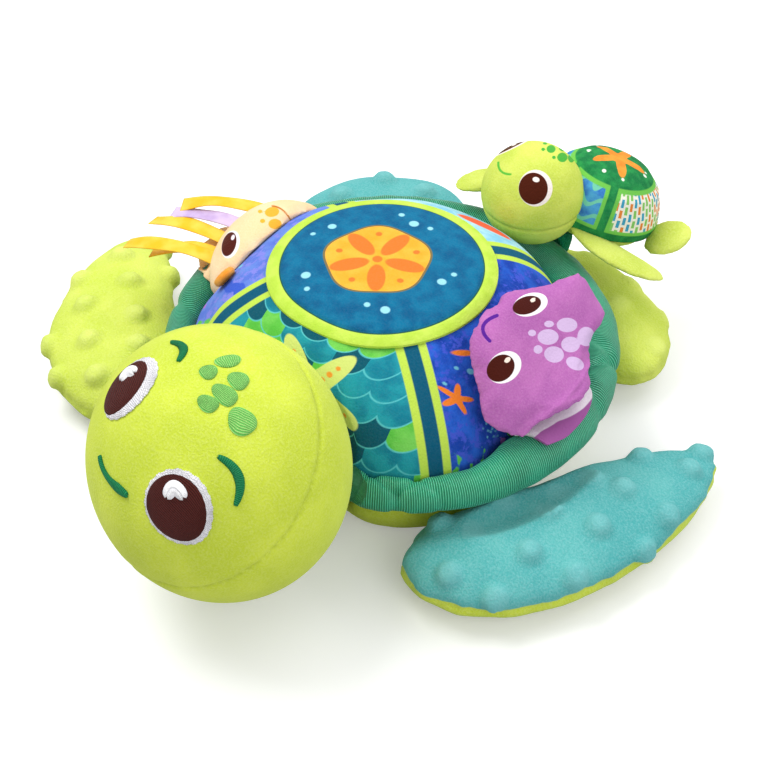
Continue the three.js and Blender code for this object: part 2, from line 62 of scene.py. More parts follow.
class Shader:
    """A material in the making: short calls that add one shader node each and hand back its output."""

    def __init__(self, name):
        self.material = bpy.data.materials.new(name)
        self.material.use_nodes = True
        self.tree = self.material.node_tree
        self.surface = self.tree.nodes["Principled BSDF"]
        self.place = self.add("TexCoord").outputs["Object"]

    def add(self, kind, inputs=(), **settings):
        node = self.tree.nodes.new("ShaderNode" + kind)
        for key, value in settings.items():
            setattr(node, key, value)
        for key, value in dict(inputs).items():
            self.feed(node.inputs[key], value)
        return node

    def feed(self, socket, value):
        if isinstance(value, bpy.types.NodeSocket):
            self.tree.links.new(value, socket)
        else:
            socket.default_value = value

    def calc(self, operation, a, b=0.0, c=0.0):
        return self.add("Math", {0: a, 1: b, 2: c}, operation=operation).outputs[0]

    def mix(self, share, a, b):
        a, b = [linear(v) if isinstance(v, tuple) and len(v) == 3 else v for v in (a, b)]
        node = self.add("Mix", {0: share, 6: a, 7: b}, data_type="RGBA")
        return node.outputs[2]

    def noise(self, size, detail=2.0, roughness=0.5):
        """Noise in patches of about size millimetres."""
        inputs = {"Vector": self.place, "Scale": 1 / (size * MM), "Detail": detail, "Roughness": roughness}
        return self.add("TexNoise", inputs).outputs["Fac"]

    def ramp(self, value, low, high):
        node = self.add("MapRange", {0: value, 1: low, 2: high}, interpolation_type="SMOOTHSTEP")
        return node.outputs[0]

    def patches(self, size, low, high, detail=2.0, roughness=0.5):
        """The same noise as soft-edged patches, from 0 to 1."""
        return self.ramp(self.noise(size, detail, roughness), low, high)

    def attribute(self, name):
        return self.add("Attribute", attribute_name=name).outputs["Fac"]

    def inside(self, name, edge=0.35):
        """1 where a distance kept on the mesh, in millimetres, is above zero."""
        return self.ramp(self.attribute(name), -edge, edge)

    def layered(self, ground, prints, edge=0.35):
        """A ground with prints laid over it in turn: each a distance kept on the mesh, and a colour."""
        for name, colour in prints:
            ground = self.mix(self.inside(name, edge), ground, colour)
        return ground

    def finish(self, colour, height, depth, roughness, sheen, sheen_colour=(255, 255, 255), gloss=0.1):
        self.feed(self.surface.inputs["Base Color"], linear(colour) if isinstance(colour, tuple) else colour)
        bump = self.add("Bump", {"Height": height, "Distance": depth * MM, "Strength": 1.0})
        self.feed(self.surface.inputs["Normal"], bump.outputs[0])
        self.surface.inputs["Roughness"].default_value = roughness
        self.surface.inputs["Specular IOR Level"].default_value = gloss
        self.surface.inputs["Sheen Weight"].default_value = sheen
        self.surface.inputs["Sheen Roughness"].default_value = 0.45
        self.surface.inputs["Sheen Tint"].default_value = linear(sheen_colour)
        return self.material


def pile(shader, lay=0.9):
    """Height of a short brushed pile: fine tufts, with wider brush marks."""
    fine = shader.noise(lay, 2.0)
    wide = shader.noise(6, 2.0)
    return shader.calc("MULTIPLY_ADD", wide, 0.6, fine)


def plush(name, colour, shade, light, sheen=0.3):
    """Short-pile plush: broad soft shading of the brushed pile, with fine light and dark tufts."""
    s = Shader(name)
    ground = s.mix(s.patches(22, 0.35, 0.7), shade, colour)
    tufts = s.patches(0.9, 0.38, 0.72, 3.0, 0.7)
    worn = s.mix(s.calc("MULTIPLY", tufts, 0.28), ground, light)
    # Painted shade: the colour is darkened along a seam groove, by the seam attribute that the mesh keeps.
    seam_shade = s.calc("MULTIPLY", s.attribute("seam"), s.patches(2.5, 0.3, 0.6, 3.0))
    return s.finish(s.mix(seam_shade, worn, tuple(c * 0.72 for c in shade)), pile(s), 0.32, 0.95, sheen, light)


def shown(name, mesh, *materials):
    piece = bpy.data.objects.new(name, mesh)
    scene.collection.objects.link(piece)
    for material in materials:
        mesh.materials.append(material)
    mesh.shade_smooth()
    return piece


def points_of(piece):
    flat = np.empty(len(piece.data.vertices) * 3)
    piece.data.vertices.foreach_get("co", flat)
    return flat.reshape(-1, 3) / MM


def move_points(piece, points):
    piece.data.vertices.foreach_set("co", (points * MM).ravel())
    piece.data.update()


def normals_of(piece):
    flat = np.empty(len(piece.data.vertices) * 3)
    piece.data.vertices.foreach_get("normal", flat)
    return flat.reshape(-1, 3)


def applied(piece):
    """The piece with its modifiers built in."""
    bpy.context.view_layer.update()
    built = bpy.data.meshes.new_from_object(piece.evaluated_get(bpy.context.evaluated_depsgraph_get()))
    piece.modifiers.clear()
    old = piece.data
    piece.data = built
    bpy.data.meshes.remove(old)
    piece.data.shade_smooth()
    return piece


def stuffed(name, node, voxel, materials, swell=2.0, start_in=0.8, soften=2, finer=1):
    """A copy of a solid, remeshed evenly, blown up like stuffed cloth by at most swell millimetres."""
    piece = shown(name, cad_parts[node].data.copy())
    piece.data.materials.clear()
    for material in materials:
        piece.data.materials.append(material)
    remesh = piece.modifiers.new("even", "REMESH")
    remesh.mode = "VOXEL"
    remesh.voxel_size = voxel * MM
    applied(piece)
    bm = bmesh.new()
    bm.from_mesh(piece.data)
    for turn in range(soften):
        bmesh.ops.smooth_vert(
            bm, verts=bm.verts, factor=0.5, use_axis_x=True, use_axis_y=True, use_axis_z=True)
    bm.to_mesh(piece.data)
    bm.free()
    move_points(piece, points_of(piece) - start_in * normals_of(piece))
    if swell:
        rest = points_of(piece)
        cloth = piece.modifiers.new("cloth", "CLOTH")
        cloth.settings.use_pressure = True
        cloth.settings.uniform_pressure_force = 4
        cloth.settings.effector_weights.gravity = 0
        cloth.settings.quality = 4
        cloth.point_cache.frame_start = 1
        cloth.point_cache.frame_end = 20
        for step in range(1, 21):
            scene.frame_set(step)
        applied(piece)
        scene.frame_set(1)
        moved = points_of(piece) - rest
        far = np.linalg.norm(moved, axis=1, keepdims=True)
        move_points(piece, rest + moved * np.minimum(1, swell / np.maximum(far, 1e-6)))
    if finer:
        finer_mesh = piece.modifiers.new("finer", "SUBSURF")
        finer_mesh.levels = finer_mesh.render_levels = finer
        applied(piece)
    return piece


def finished(piece, node, body):
    """Hides the node's own part, which the piece stands in for, and puts the piece on its body."""
    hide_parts(node)
    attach(piece, body)
    return piece


lime_plush = plush("lime_plush", LIME, LIME_SHADE, LIME_LIGHT, 0.45)
belly = stuffed("belly_cushion", "belly", 4, [lime_plush], swell=1.0)
finished(belly, "belly", "mother")

# Neck: a short stuffed collar of the same plush. It is sewn into the front of the belly and holds the
# head, so that both can turn a little to the left and right.
neck = stuffed("neck_collar", "neck", 3, [lime_plush], swell=0.4)
finished(neck, "neck", "neck")


# Head: a firmly stuffed ball of lime plush panels, set on the neck. The panels meet in a seam from ear to
# ear behind the face, where the thread pulls the cloth into a shallow groove with small puckers. Painted
# shade darkens the plush along the groove.
def ball_axes(left, face):
    """A head's own axes, to its left, ahead and upwards. They are left-handed."""
    left = np.array(left) / np.linalg.norm(left)
    up = np.cross(face, left)
    up /= np.linalg.norm(up)
    return np.array([left, np.cross(left, up), up])


def from_bmesh(name, bm):
    mesh = bpy.data.meshes.new(name)
    bm.to_mesh(mesh)
    bm.free()
    return mesh


def keep(piece, name, values):
    piece.data.attributes.new(name, "FLOAT", "POINT").data.foreach_set("value", values.astype(np.float32))


def ball_points(ball, yaw, pitch, lift):
    """Points on a head: yaw towards its left and pitch upwards, in degrees from the face's middle."""
    yaw, pitch = np.radians(yaw), np.radians(pitch)
    way = np.stack([np.sin(yaw), np.cos(yaw) * np.cos(pitch), np.cos(yaw) * np.sin(pitch)], -1)
    swell = 1 + lift / ball["radii"][1]
    return ball["centre"] + (way * np.array(ball["radii"]) * np.reshape(swell, (-1, 1))) @ ball["axes"]


def ball_way(ball, points):
    """Points in a head's own axes, where a length of 1 is its surface."""
    return (points - ball["centre"]) @ ball["axes"].T / np.array(ball["radii"])


def ball_angles(ball, points):
    """Yaw and pitch of points on a head, in degrees."""
    way = ball_way(ball, points)
    way /= np.linalg.norm(way, axis=1, keepdims=True)
    return np.degrees(np.arcsin(way[:, 0])), np.degrees(np.arctan2(way[:, 2], way[:, 1]))


def ball_mesh(name, ball, detail, materials):
    """A round head, with its faces turned round because its axes are left-handed."""
    bm = bmesh.new()
    bmesh.ops.create_icosphere(bm, subdivisions=detail, radius=1)
    piece = shown(name, from_bmesh(name, bm), *materials)
    way = points_of(piece) * MM
    move_points(piece, ball["centre"] + (way * np.array(ball["radii"])) @ ball["axes"])
    piece.data.flip_normals()
    return piece


def seam_groove(piece, far, depth=0.9, width=1.6):
    """A sewn seam: the cloth dips where far, the distance from the seam in millimetres, is small."""
    dip = depth * np.exp(-(far / width) ** 2)
    move_points(piece, points_of(piece) - normals_of(piece) * dip[:, None])


HEAD = {"centre": np.array([7.5, -122.0, 69.0]), "radii": (57.0, 53.0, 53.0),
        "axes": ball_axes([0.816, -0.459, -0.353], [-0.232, -0.846, 0.482])}
SEAM_LEAN, SEAM_SLANT, SEAM_SHIFT, SEAM_STEEPNESS = 0.409, 0.169, 0.189, 1.093
head = ball_mesh("head_ball", HEAD, 7, [lime_plush])
across, forward, up = ball_way(HEAD, points_of(head)).T
behind = (forward + SEAM_LEAN * up - SEAM_SLANT * across - SEAM_SHIFT) * HEAD["radii"][1] / SEAM_STEEPNESS
seam_groove(head, behind, 0.9, 1.2)
# Painted shade: the seam attribute darkens the plush along the groove.
keep(head, "seam", 0.35 * np.exp(-(behind / 0.8) ** 2))
shape = points_of(head)
pull = 0.22 * np.exp(-(behind / 4) ** 2) * np.sin(shape[:, 2] / 2.1) * np.sin(shape[:, 0] / 2.6)
move_points(head, shape + normals_of(head) * pull[:, None])
finished(head, "head", "head")


# Face: satin stitch of coloured thread, sewn flat on the plush. Each eye is a white oval with a brown one
# and a light on it; the smile and the two brows are green lines, and six paler green freckles lie on the
# forehead.
def grid(name, columns, rows, place, materials, marks=None):
    """A grid bent to shape: place and marks get u and v from 0 to 1; points that meet are joined."""
    bm = bmesh.new()
    bm.loops.layers.uv.new("UVMap")
    bmesh.ops.create_grid(bm, x_segments=columns, y_segments=rows, size=0.5, calc_uvs=True)
    piece = shown(name, from_bmesh(name, bm), *materials)
    start = points_of(piece) * MM
    u, v = start[:, 0] + 0.5, start[:, 1] + 0.5
    move_points(piece, place(u, v))
    for key, values in (marks(u, v) if marks else {}).items():
        keep(piece, key, values)
    bm = bmesh.new()
    bm.from_mesh(piece.data)
    bmesh.ops.remove_doubles(bm, verts=bm.verts, dist=1e-6)
    bmesh.ops.dissolve_degenerate(bm, edges=bm.edges, dist=1e-7)
    if not any(edge.is_boundary for edge in bm.edges):
        bmesh.ops.recalc_face_normals(bm, faces=bm.faces)
    bm.to_mesh(piece.data)
    bm.free()
    piece.data.shade_smooth()
    return piece


def thread(name, colour, light, across=False, count=30):
    """Satin stitch: count fine parallel threads, along the piece's own u direction or across it."""
    s = Shader(name)
    parts = s.add("SeparateXYZ", {0: s.add("TexCoord").outputs["UV"]})
    wander = s.calc("MULTIPLY", s.noise(3.0), 3.0)
    turns = s.calc("MULTIPLY_ADD", parts.outputs[0 if across else 1], 2 * math.pi * count, wander)
    height = s.calc("MULTIPLY_ADD", s.calc("SINE", turns), 0.5, s.noise(0.7, 3.0, 0.7))
    share = s.calc("MULTIPLY", s.ramp(height, 0.1, 1.0), 0.7)
    return s.finish(s.mix(share, colour, light), height, 0.35, 0.6, 0.03, light, 0.2)


brown_thread = thread("brown_thread", (62, 18, 14), (104, 38, 30))
white_thread = thread("white_thread", (238, 236, 244), (255, 255, 255))
green_thread = thread("green_thread", (10, 112, 70), (36, 160, 98), across=True)
freckle_thread = thread("freckle_thread", (96, 192, 84), (190, 236, 140), count=11)
light_thread = thread("light_thread", (248, 248, 252), (255, 255, 255), count=3)


def disc_of(u, v):
    """Square grid to a round disc."""
    x, y = 2 * u - 1, 2 * v - 1
    return x * np.sqrt(1 - y * y / 2), y * np.sqrt(1 - x * x / 2)


def turned(x, y, degrees):
    """Places turned about the origin."""
    c, s = math.cos(math.radians(degrees)), math.sin(math.radians(degrees))
    return x * c - y * s, x * s + y * c


def lengths_along(points):
    """Length along a line of points, from its start to each of them."""
    return np.concatenate([[0], np.cumsum(np.linalg.norm(np.diff(points, axis=0), axis=1))])


def sewn_on(piece, thickness):
    """Gives an embroidered patch its thickness, inwards, and fixes it to the head."""
    piece.data.flip_normals()
    solid = piece.modifiers.new("thick", "SOLIDIFY")
    solid.thickness = thickness * MM
    solid.offset = -1
    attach(piece, "head")


def sewn_disc(name, material, centre, half, turn=0.0, thickness=0.8, lift=0.0, shape=None):
    """An embroidered oval: its centre in degrees on the head, half sizes in millimetres, and turn."""
    radius = HEAD["radii"][1]

    def place(u, v):
        x, y = disc_of(u, v)
        stretch = shape(np.arctan2(y, x)) if shape else 1.0
        a, b = turned(half[0] * x * stretch, half[1] * y * stretch, turn)
        rise = lift + thickness * np.sqrt(np.clip(1.02 - np.hypot(x, y) ** 4, 0, 1)) - 0.2
        return ball_points(HEAD, centre[0] + np.degrees(a / radius), centre[1] + np.degrees(b / radius), rise)

    sewn_on(grid(name, 72, 72, place, [material]), thickness)


def sewn_line(name, material, course, widths, thickness=0.7, blunt=2.4):
    """An embroidered line through places in degrees on the head, with its half widths in millimetres."""
    course = np.array(course, float)
    steps = lengths_along(course)
    bends = [np.polyfit(steps / steps[-1], course[:, k], min(3, len(course) - 1)) for k in range(2)]

    def place(u, v):
        line = np.stack([np.polyval(bend, u) for bend in bends], -1)
        ahead = np.stack([np.polyval(np.polyder(bend), u) for bend in bends], -1)
        ahead /= np.linalg.norm(ahead, axis=1, keepdims=True)
        width = np.interp(u, np.linspace(0, 1, len(widths)), widths)
        width = width * np.sqrt(np.clip(1 - np.abs(2 * u - 1) ** blunt, 0, 1)) + 0.05
        side = (2 * v - 1) * np.degrees(width / HEAD["radii"][1])
        rise = thickness * np.sqrt(np.clip(1.02 - (2 * v - 1) ** 4, 0, 1)) - 0.2
        return ball_points(HEAD, line[:, 0] - ahead[:, 1] * side, line[:, 1] + ahead[:, 0] * side, rise)

    sewn_on(grid(name, 60, 8, place, [material]), thickness)


def stitched_edge(angle):
    return 1 + 0.03 * np.sin(53 * angle) * np.sin(31 * angle + 1)


for side, white, brown, tilt, light in (
        ("left", ((31.3, 18.6), (13.9, 15.4)), ((31.0, 18.0), (12.3, 13.4)), 14,
         ((24.8, 18.6), (23.6, 22.9), (27.9, 24.6))),
        ("right", ((-26.4, 18.0), (11.4, 15.3)), ((-27.2, 15.9), (9.6, 13.3)), 18,
         ((-30.9, 15.6), (-32.6, 19.4), (-30.0, 22.4)))):
    sewn_disc(f"eye_white_{side}", white_thread, *white, tilt, shape=stitched_edge)
    sewn_disc(f"eye_brown_{side}", brown_thread, *brown, tilt, lift=0.4)
    sewn_line(f"eye_light_{side}", light_thread, light, (1.5, 1.9, 1.5), 1.6, 8)
sewn_line("smile", green_thread, ((-6.5, -7.3), (-0.3, -7.6), (6.0, -5.6), (14.8, -0.9)),
          (0.6, 0.45, 0.7, 1.6, 1.2), blunt=8)
sewn_line("brow_left", green_thread, ((20, 46), (31, 51.5), (40, 45.5)), (1.0, 1.6, 1.0))
sewn_line("brow_right", green_thread, ((-41, 44.5), (-34, 49), (-26, 44.5)), (1.0, 1.5, 1.0))
freckles = ((-18, 65.2, 2.7, 5.2), (-15, 55, 3.0, 3.2), (-7.4, 65.4, 3.6, 3.8), (-2.7, 57.6, 5.0, 3.5),
            (-1.2, 49.7, 3.8, 2.9), (9.9, 60.4, 5.2, 5.0))
for i, (yaw, pitch, wide, high) in enumerate(freckles):
    sewn_disc(f"freckle_{i + 1}", freckle_thread, (yaw, pitch), (wide, high), 10 * i, 0.6,
              shape=lambda angle, i=i: 1 + 0.07 * np.cos(3 * angle + i))

# Shell: a padded dome of printed plush over the body, sewn to the belly along its foot. Lime and teal
# stripes part it into four fields: fish scales in front, and sea beds with weed, stars and bubbles at the
# sides and the rear.
BODY_RADIUS, FRONT_RADIUS = 91.0, 94.0
HEAD_HOLLOW, HOLLOW_TURN = 22.0, 24
SHELL_INSET, SHELL_FOOT, SHELL_RISE = 10.8, 46, 45
CROWN_AT = (-4, -5)
FIELDS = {"front": (-41, 54.2), "left": (54.2, 146.5), "rear": (146.5, 235), "right": (-125, -41)}


def outline_radius(angle, hollow=HEAD_HOLLOW):
    """Radius of the line that the rim roll follows, from the front, with a hollow for the head."""
    reach = np.where(np.cos(angle) > 0, FRONT_RADIUS, BODY_RADIUS)
    oval = 1 / np.hypot(np.sin(angle) / BODY_RADIUS, np.cos(angle) / reach)
    turn = np.arctan2(np.sin(angle), np.cos(angle)) / math.radians(HOLLOW_TURN)
    return oval - hollow * np.exp(-turn * turn)


def dome_point(angle, share, lift=0.0):
    """A point of the shell, at an angle from the front and a share of the way from the top to the foot."""
    share, angle = np.broadcast_arrays(np.asarray(share, float), np.asarray(angle, float))
    inner = np.minimum(share, 1)
    shift = 1 - inner ** 2
    radius = share * (outline_radius(angle, HEAD_HOLLOW * inner ** 4) - SHELL_INSET)
    x, y = radius * np.sin(angle) + CROWN_AT[0] * shift, CROWN_AT[1] * shift - radius * np.cos(angle)
    return np.stack([x, y, SHELL_FOOT + SHELL_RISE * (1 - inner ** 4) ** 0.7 + lift], -1)


def from_crown(points):
    """Places seen from above, from the middle of the shell's top."""
    return points[:, 0] - CROWN_AT[0], points[:, 1] - CROWN_AT[1]


def front_bulge(angle):
    """1 at the shell's front, where it swells over the rim roll, and 0 beside the ray and the octopus."""
    turn = np.abs(np.degrees(np.arctan2(np.sin(angle), np.cos(angle))))
    share = np.clip((74 - turn) / 16, 0, 1)
    return share * share * (3 - 2 * share)


def clear_of_head(points, gap=0.9):
    """Moves points out of the space that the head sweeps as the neck turns."""
    pivot = np.array([0, -80.0, 0])
    for turn in np.radians([-12, -8, -4, 0, 4, 8, 12]):
        c, s = math.cos(turn), math.sin(turn)
        swing = np.array([[c, s, 0], [-s, c, 0], [0, 0, 1]])
        local = ((points - pivot) @ swing.T + pivot - HEAD["centre"]) @ HEAD["axes"].T
        local = local / (np.array(HEAD["radii"]) + gap)
        far = np.linalg.norm(local, axis=1, keepdims=True)
        out = np.where(far < 1, local / far, local) * (np.array(HEAD["radii"]) + gap)
        points = (out @ HEAD["axes"] + HEAD["centre"] - pivot) @ swing + pivot
    return points


slope_shares = np.linspace(0, 1, 200)
slope_lengths = lengths_along(dome_point(math.pi / 2, slope_shares))


def dome_place(u, v):
    angle = 2 * math.pi * (u - 0.5)
    top, foot = np.clip(v / 0.82, 0, 1), np.clip((v - 0.82) / 0.06, 0, 1)
    under = np.clip((v - 0.88) / 0.12, 0, 1)
    share = np.sin(top * math.pi / 2) * (1 - under)
    points = dome_point(angle, np.where(v > 0.82, 1.0, share))
    bulge = 7.5 * front_bulge(angle) * np.where(v > 0.82, 1.0, share ** 7)
    points += bulge[:, None] * np.stack([np.sin(angle), -np.cos(angle), 0 * angle], -1)
    points[:, 2] -= 8 * foot
    points[:, :2] *= np.where(v > 0.88, 1 - under, 1.0)[:, None]
    return points


def star_distance(x, y, centre, radius, turn=0.0, waist=0.42, arms=5):
    """Distance inside a soft five-armed star, about in millimetres."""
    dx, dy = x - centre[0], y - centre[1]
    lobe = (0.5 + 0.5 * np.cos(arms * (np.arctan2(dy, dx) - math.radians(turn)))) ** 1.5
    return (radius * (waist + (1 - waist) * lobe) - np.hypot(dx, dy)) * 0.6


def weed_distance(x, y, foot, height, width, lean=0.0, waves=1.5):
    """Distance inside a wavy strand of weed that grows towards smaller y."""
    along = (foot[1] - y) / height
    middle = foot[0] + lean * along * height + 1.6 * np.sin(2 * math.pi * waves * along)
    half = width * np.sqrt(np.clip(1 - along, 0, 1)) * (0.75 + 0.35 * np.sin(2 * math.pi * 4 * along))
    return np.where((along > -0.1) & (along < 1), half - np.abs(x - middle), -3.0)


def dots_distance(x, y, dots):
    return np.max([r - np.hypot(x - cx, y - cy) for cx, cy, r in dots], axis=0)


def oval_distance(x, y, centre, half, turn=0.0):
    """Distance inside an oval, about in the unit of its half sizes."""
    a, b = turned(x - centre[0], y - centre[1], -turn)
    return (1 - np.hypot(a / half[0], b / half[1])) * min(half)


def around(centre, radius, degrees):
    """The place at a distance from a centre, in a direction."""
    way = math.radians(degrees)
    return centre[0] + radius * math.cos(way), centre[1] + radius * math.sin(way)


def dome_marks(u, v):
    """The shell's print: the distance inside each motif, in millimetres along the cloth."""
    dx, dy = from_crown(dome_place(u, v))
    turn, far = np.degrees(np.arctan2(dx, -dy)), np.hypot(dx, dy)
    down = np.interp(np.sin(np.clip(v / 0.82, 0, 1) * math.pi / 2), slope_shares, slope_lengths)

    def from_stripe(at):
        off = np.radians(turn - at)
        return np.where(np.cos(off) > 0, np.abs(far * np.sin(off)), 99)

    def field(first, last):
        middle, half = math.radians((first + last) / 2), math.radians((last - first) / 2)
        off = np.arctan2(np.sin(np.radians(turn) - middle), np.cos(np.radians(turn) - middle))
        return off * far, far * np.sin(np.clip(half - np.abs(off), -1.5, 1.5))

    def drawn(*motifs):
        """The nearest of some motifs, each kept within its own field."""
        return np.max([np.minimum(motif(fields[where][0], down, *values), fields[where][1])
                       for where, motif, *values in motifs], axis=0)

    def weeds(where, foot, width, *strands):
        return [(where, weed_distance, (x, foot), height, width, lean) for x, height, lean in strands]

    stripe = np.min([from_stripe(first) for first, last in FIELDS.values()], axis=0)
    fields = {name: field(*ends) for name, ends in FIELDS.items()}
    star_at = (5.7, 80)
    return {
        "stripe": np.maximum(6.6 - stripe, -9.0), "core": np.maximum(3.1 - stripe, -9.0),
        "front": fields["front"][1], "left_field": fields["left"][1], "rear": fields["rear"][1],
        "scale_across": dome_place(u, v)[:, 0], "scale_down": down,
        "pale_star": drawn(("front", star_distance, star_at, 28, -58, 0.38)),
        "pale_dots": dots_distance(fields["front"][0], down, [
            (*around(star_at, r, 72 * k - 58), w)
            for k in range(5) for r, w in ((9, 1.7), (14, 1.5), (19, 1.2))]),
        "orange_star": drawn(
            ("left", star_distance, (-44.5, 77), 7.5, 30, 0.3), ("left", star_distance, (36, 84), 9, 10, 0.3),
            ("right", star_distance, (-30, 92), 8, 40, 0.3), ("rear", star_distance, (34, 86), 9, 70, 0.3),
            ("left", oval_distance, (-26, 61.5), (4.5, 1.6), 30),
            ("left", oval_distance, (-40, 111), (5, 2.2), 10)),
        "weed": drawn(
            *weeds("left", 116, 2.0, (-63, 20, .1), (-56, 14, -.1), (-49, 17, .1), (-26, 24, -.1),
                   (-6, 22, 0), (16, 26, .1), (44, 20, -.1)),
            *weeds("right", 112, 2.2, (54, 34, -.1), (47, 42, .05), (40, 30, .15), (22, 22, .1),
                   (-16, 28, -.1), (-40, 22, .1))),
        "coral": drawn(*[("rear", oval_distance, *oval) for oval in (
            ((-25, 64), (15, 4.0), -24), ((10, 78), (5, 10), 20), ((36, 68), (9, 3.4), 15))]),
        "rose": drawn(*weeds("right", 108, 2.6, (31, 18, -.1), (27, 12, .2), (-4, 20, 0)),
                      *weeds("left", 118, 3.0, (-33, 16, -.1), (-15, 20, .1), (30, 18, 0))),
        "bubble": drawn(
            ("left", dots_distance, [
                (*around((-37, 96), 5.5 * math.sqrt(k / 12), math.degrees(2.4 * k)), 0.7) for k in range(13)]
             + [(-30, 70, 1.5), (-34, 66, 1.0), (-44, 70, 0.9), (14, 76, 1.6), (20, 72, 1.1)]),
            ("right", dots_distance, [(22, 76, 2.2), (17, 71, 1.5), (-12, 82, 2.2), (-18, 78, 1.4)])),
        "reef": drawn(*[("right", oval_distance, *oval) for oval in (
            ((36, 66), (5, 3), 20), ((29, 74), (4.5, 3.2), -30), ((33, 70), (3, 5), 0),
            ((-24, 68), (6, 4), 0), ((-2, 96), (6, 5), 0))]),
    }


def fish_scales(s, mottle):
    """Fish scales in three tones: each row is shifted by half a scale and lies over the next."""
    wide, high, radius = 13.6, 9.6, 7.7
    x = s.calc("DIVIDE", s.attribute("scale_across"), wide)
    y = s.calc("DIVIDE", s.attribute("scale_down"), high)
    row = s.calc("FLOOR", y)
    below = s.calc("ADD", row, 1.0)

    def cell(row_socket):
        odd = s.calc("MULTIPLY", s.calc("MODULO", row_socket, 2.0), 0.5)
        shifted = s.calc("ADD", x, odd)
        column = s.calc("FLOOR", shifted)
        return column, s.calc("SUBTRACT", s.calc("SUBTRACT", shifted, column), 0.5)

    def tone(column_socket, row_socket):
        place = s.add("CombineXYZ", {0: column_socket, 1: row_socket, 2: 4.0}).outputs[0]
        value = s.add("TexWhiteNoise", {"Vector": place}, noise_dimensions="3D").outputs["Value"]
        teal = s.mix(mottle, (14, 122, 146), (30, 148, 164))
        blue = s.mix(s.calc("LESS_THAN", value, 0.3), teal, (0, 84, 104))
        return s.mix(s.calc("GREATER_THAN", value, 0.7), blue, s.mix(mottle, (88, 186, 66), (118, 204, 88)))

    column, off = cell(row)
    sideways = s.calc("MULTIPLY", off, wide)
    downwards = s.calc("MULTIPLY", s.calc("SUBTRACT", y, row), high)
    far = s.calc("SQRT", s.calc("MULTIPLY_ADD", sideways, sideways, s.calc("MULTIPLY", downwards, downwards)))
    outline = s.ramp(s.calc("ABSOLUTE", s.calc("SUBTRACT", far, radius)), 0.55, 0.1)
    scales = s.mix(s.calc("LESS_THAN", far, radius), tone(cell(below)[0], below), tone(column, row))
    return s.mix(s.calc("MULTIPLY", outline, 0.8), scales, (92, 196, 204))


def printed_pile(s, ground, tuft=0.8, share=0.015, lay=0.9, depth=0.25):
    """A print on a short pile, through which hardly any white fibre shows."""
    fibre = s.patches(tuft, 0.3, 0.75, 3.0, 0.7)
    soft = s.mix(s.calc("MULTIPLY", fibre, share), ground, (255, 255, 255))
    return s.finish(soft, pile(s, lay), depth, 0.9, 0.02)


def shell_print():
    """Print of the shell: a ground for each field, then its motifs, then the striped seams."""
    s = Shader("shell_print")
    mottle = s.patches(9, 0.35, 0.65, 3.0)
    blot = s.patches(5, 0.5, 0.6, 4.0, 0.7)
    deep = s.mix(blot, s.mix(mottle, (16, 62, 164), (36, 96, 204)), (62, 84, 200))
    periwinkle = s.mix(blot, s.mix(mottle, (88, 116, 210), (104, 140, 220)), (128, 132, 222))
    sky = s.mix(mottle, (132, 196, 222), (176, 220, 228))
    ground = s.layered(periwinkle, (
        ("left_field", deep), ("rear", sky), ("front", fish_scales(s, mottle)), ("reef", (58, 92, 202)),
        ("rose", (190, 110, 206)), ("coral", (236, 98, 62)), ("weed", (96, 190, 76)),
        ("orange_star", (240, 128, 40)), ("bubble", (110, 190, 214)), ("pale_star", (208, 220, 120))))
    dots = s.calc("MULTIPLY", s.inside("pale_dots"), s.inside("pale_star"))
    ground = s.mix(dots, ground, (236, 150, 48))
    return printed_pile(s, s.layered(ground, (("stripe", (190, 220, 80)), ("core", (0, 86, 116)))))


shell = grid("shell_dome", 400, 150, dome_place, [shell_print()], dome_marks)
shape = points_of(shell)
x, y, z = shape.T
wobble = 0.5 * np.sin(x / 9 + 1.3) * np.sin(y / 11) + 0.3 * np.sin(z / 4 + x / 13)
move_points(shell, clear_of_head(shape + normals_of(shell) * (wobble * (z > 47))[:, None]))
finished(shell, "shell", "mother")

# Crown: the round padded top of the shell, a piece of its own sewn on over the dome. Its teal print shows
# a sand dollar among bubbles, inside a lime band that a stitched groove sets off. Painted shade darkens
# the groove as a dark line.
CROWN_SHARE = 0.62


def crown_band(points):
    """Distance outside the crown's teal print, whose middle is a little to the side of the crown's own."""
    x, y = from_crown(points)
    edge = outline_radius(np.arctan2(x, -y), HEAD_HOLLOW * CROWN_SHARE ** 4) - SHELL_INSET
    return np.hypot(x - 2.0, y - 1.2) - 0.545 * edge


def crown_place(u, v):
    angle = 2 * math.pi * (u - 0.5)
    top = np.clip(v / 0.55, 0, 1)
    edge = np.clip((v - 0.55) / 0.1, 0, 1)
    under = np.clip((v - 0.65) / 0.35, 0, 1)
    share = CROWN_SHARE * np.sin(top * math.pi / 2) * (1 - under)
    lift = 0.45 + 2.5 * (1 - edge) * np.sqrt(np.clip(1 - 0.8 * (share / CROWN_SHARE) ** 10, 0, 1))
    groove = 0.7 * np.exp(-(crown_band(dome_point(angle, share)) / 0.8) ** 2) * (v < 0.55)
    return dome_point(angle, share, np.where(v > 0.65, 0.45, lift - groove))


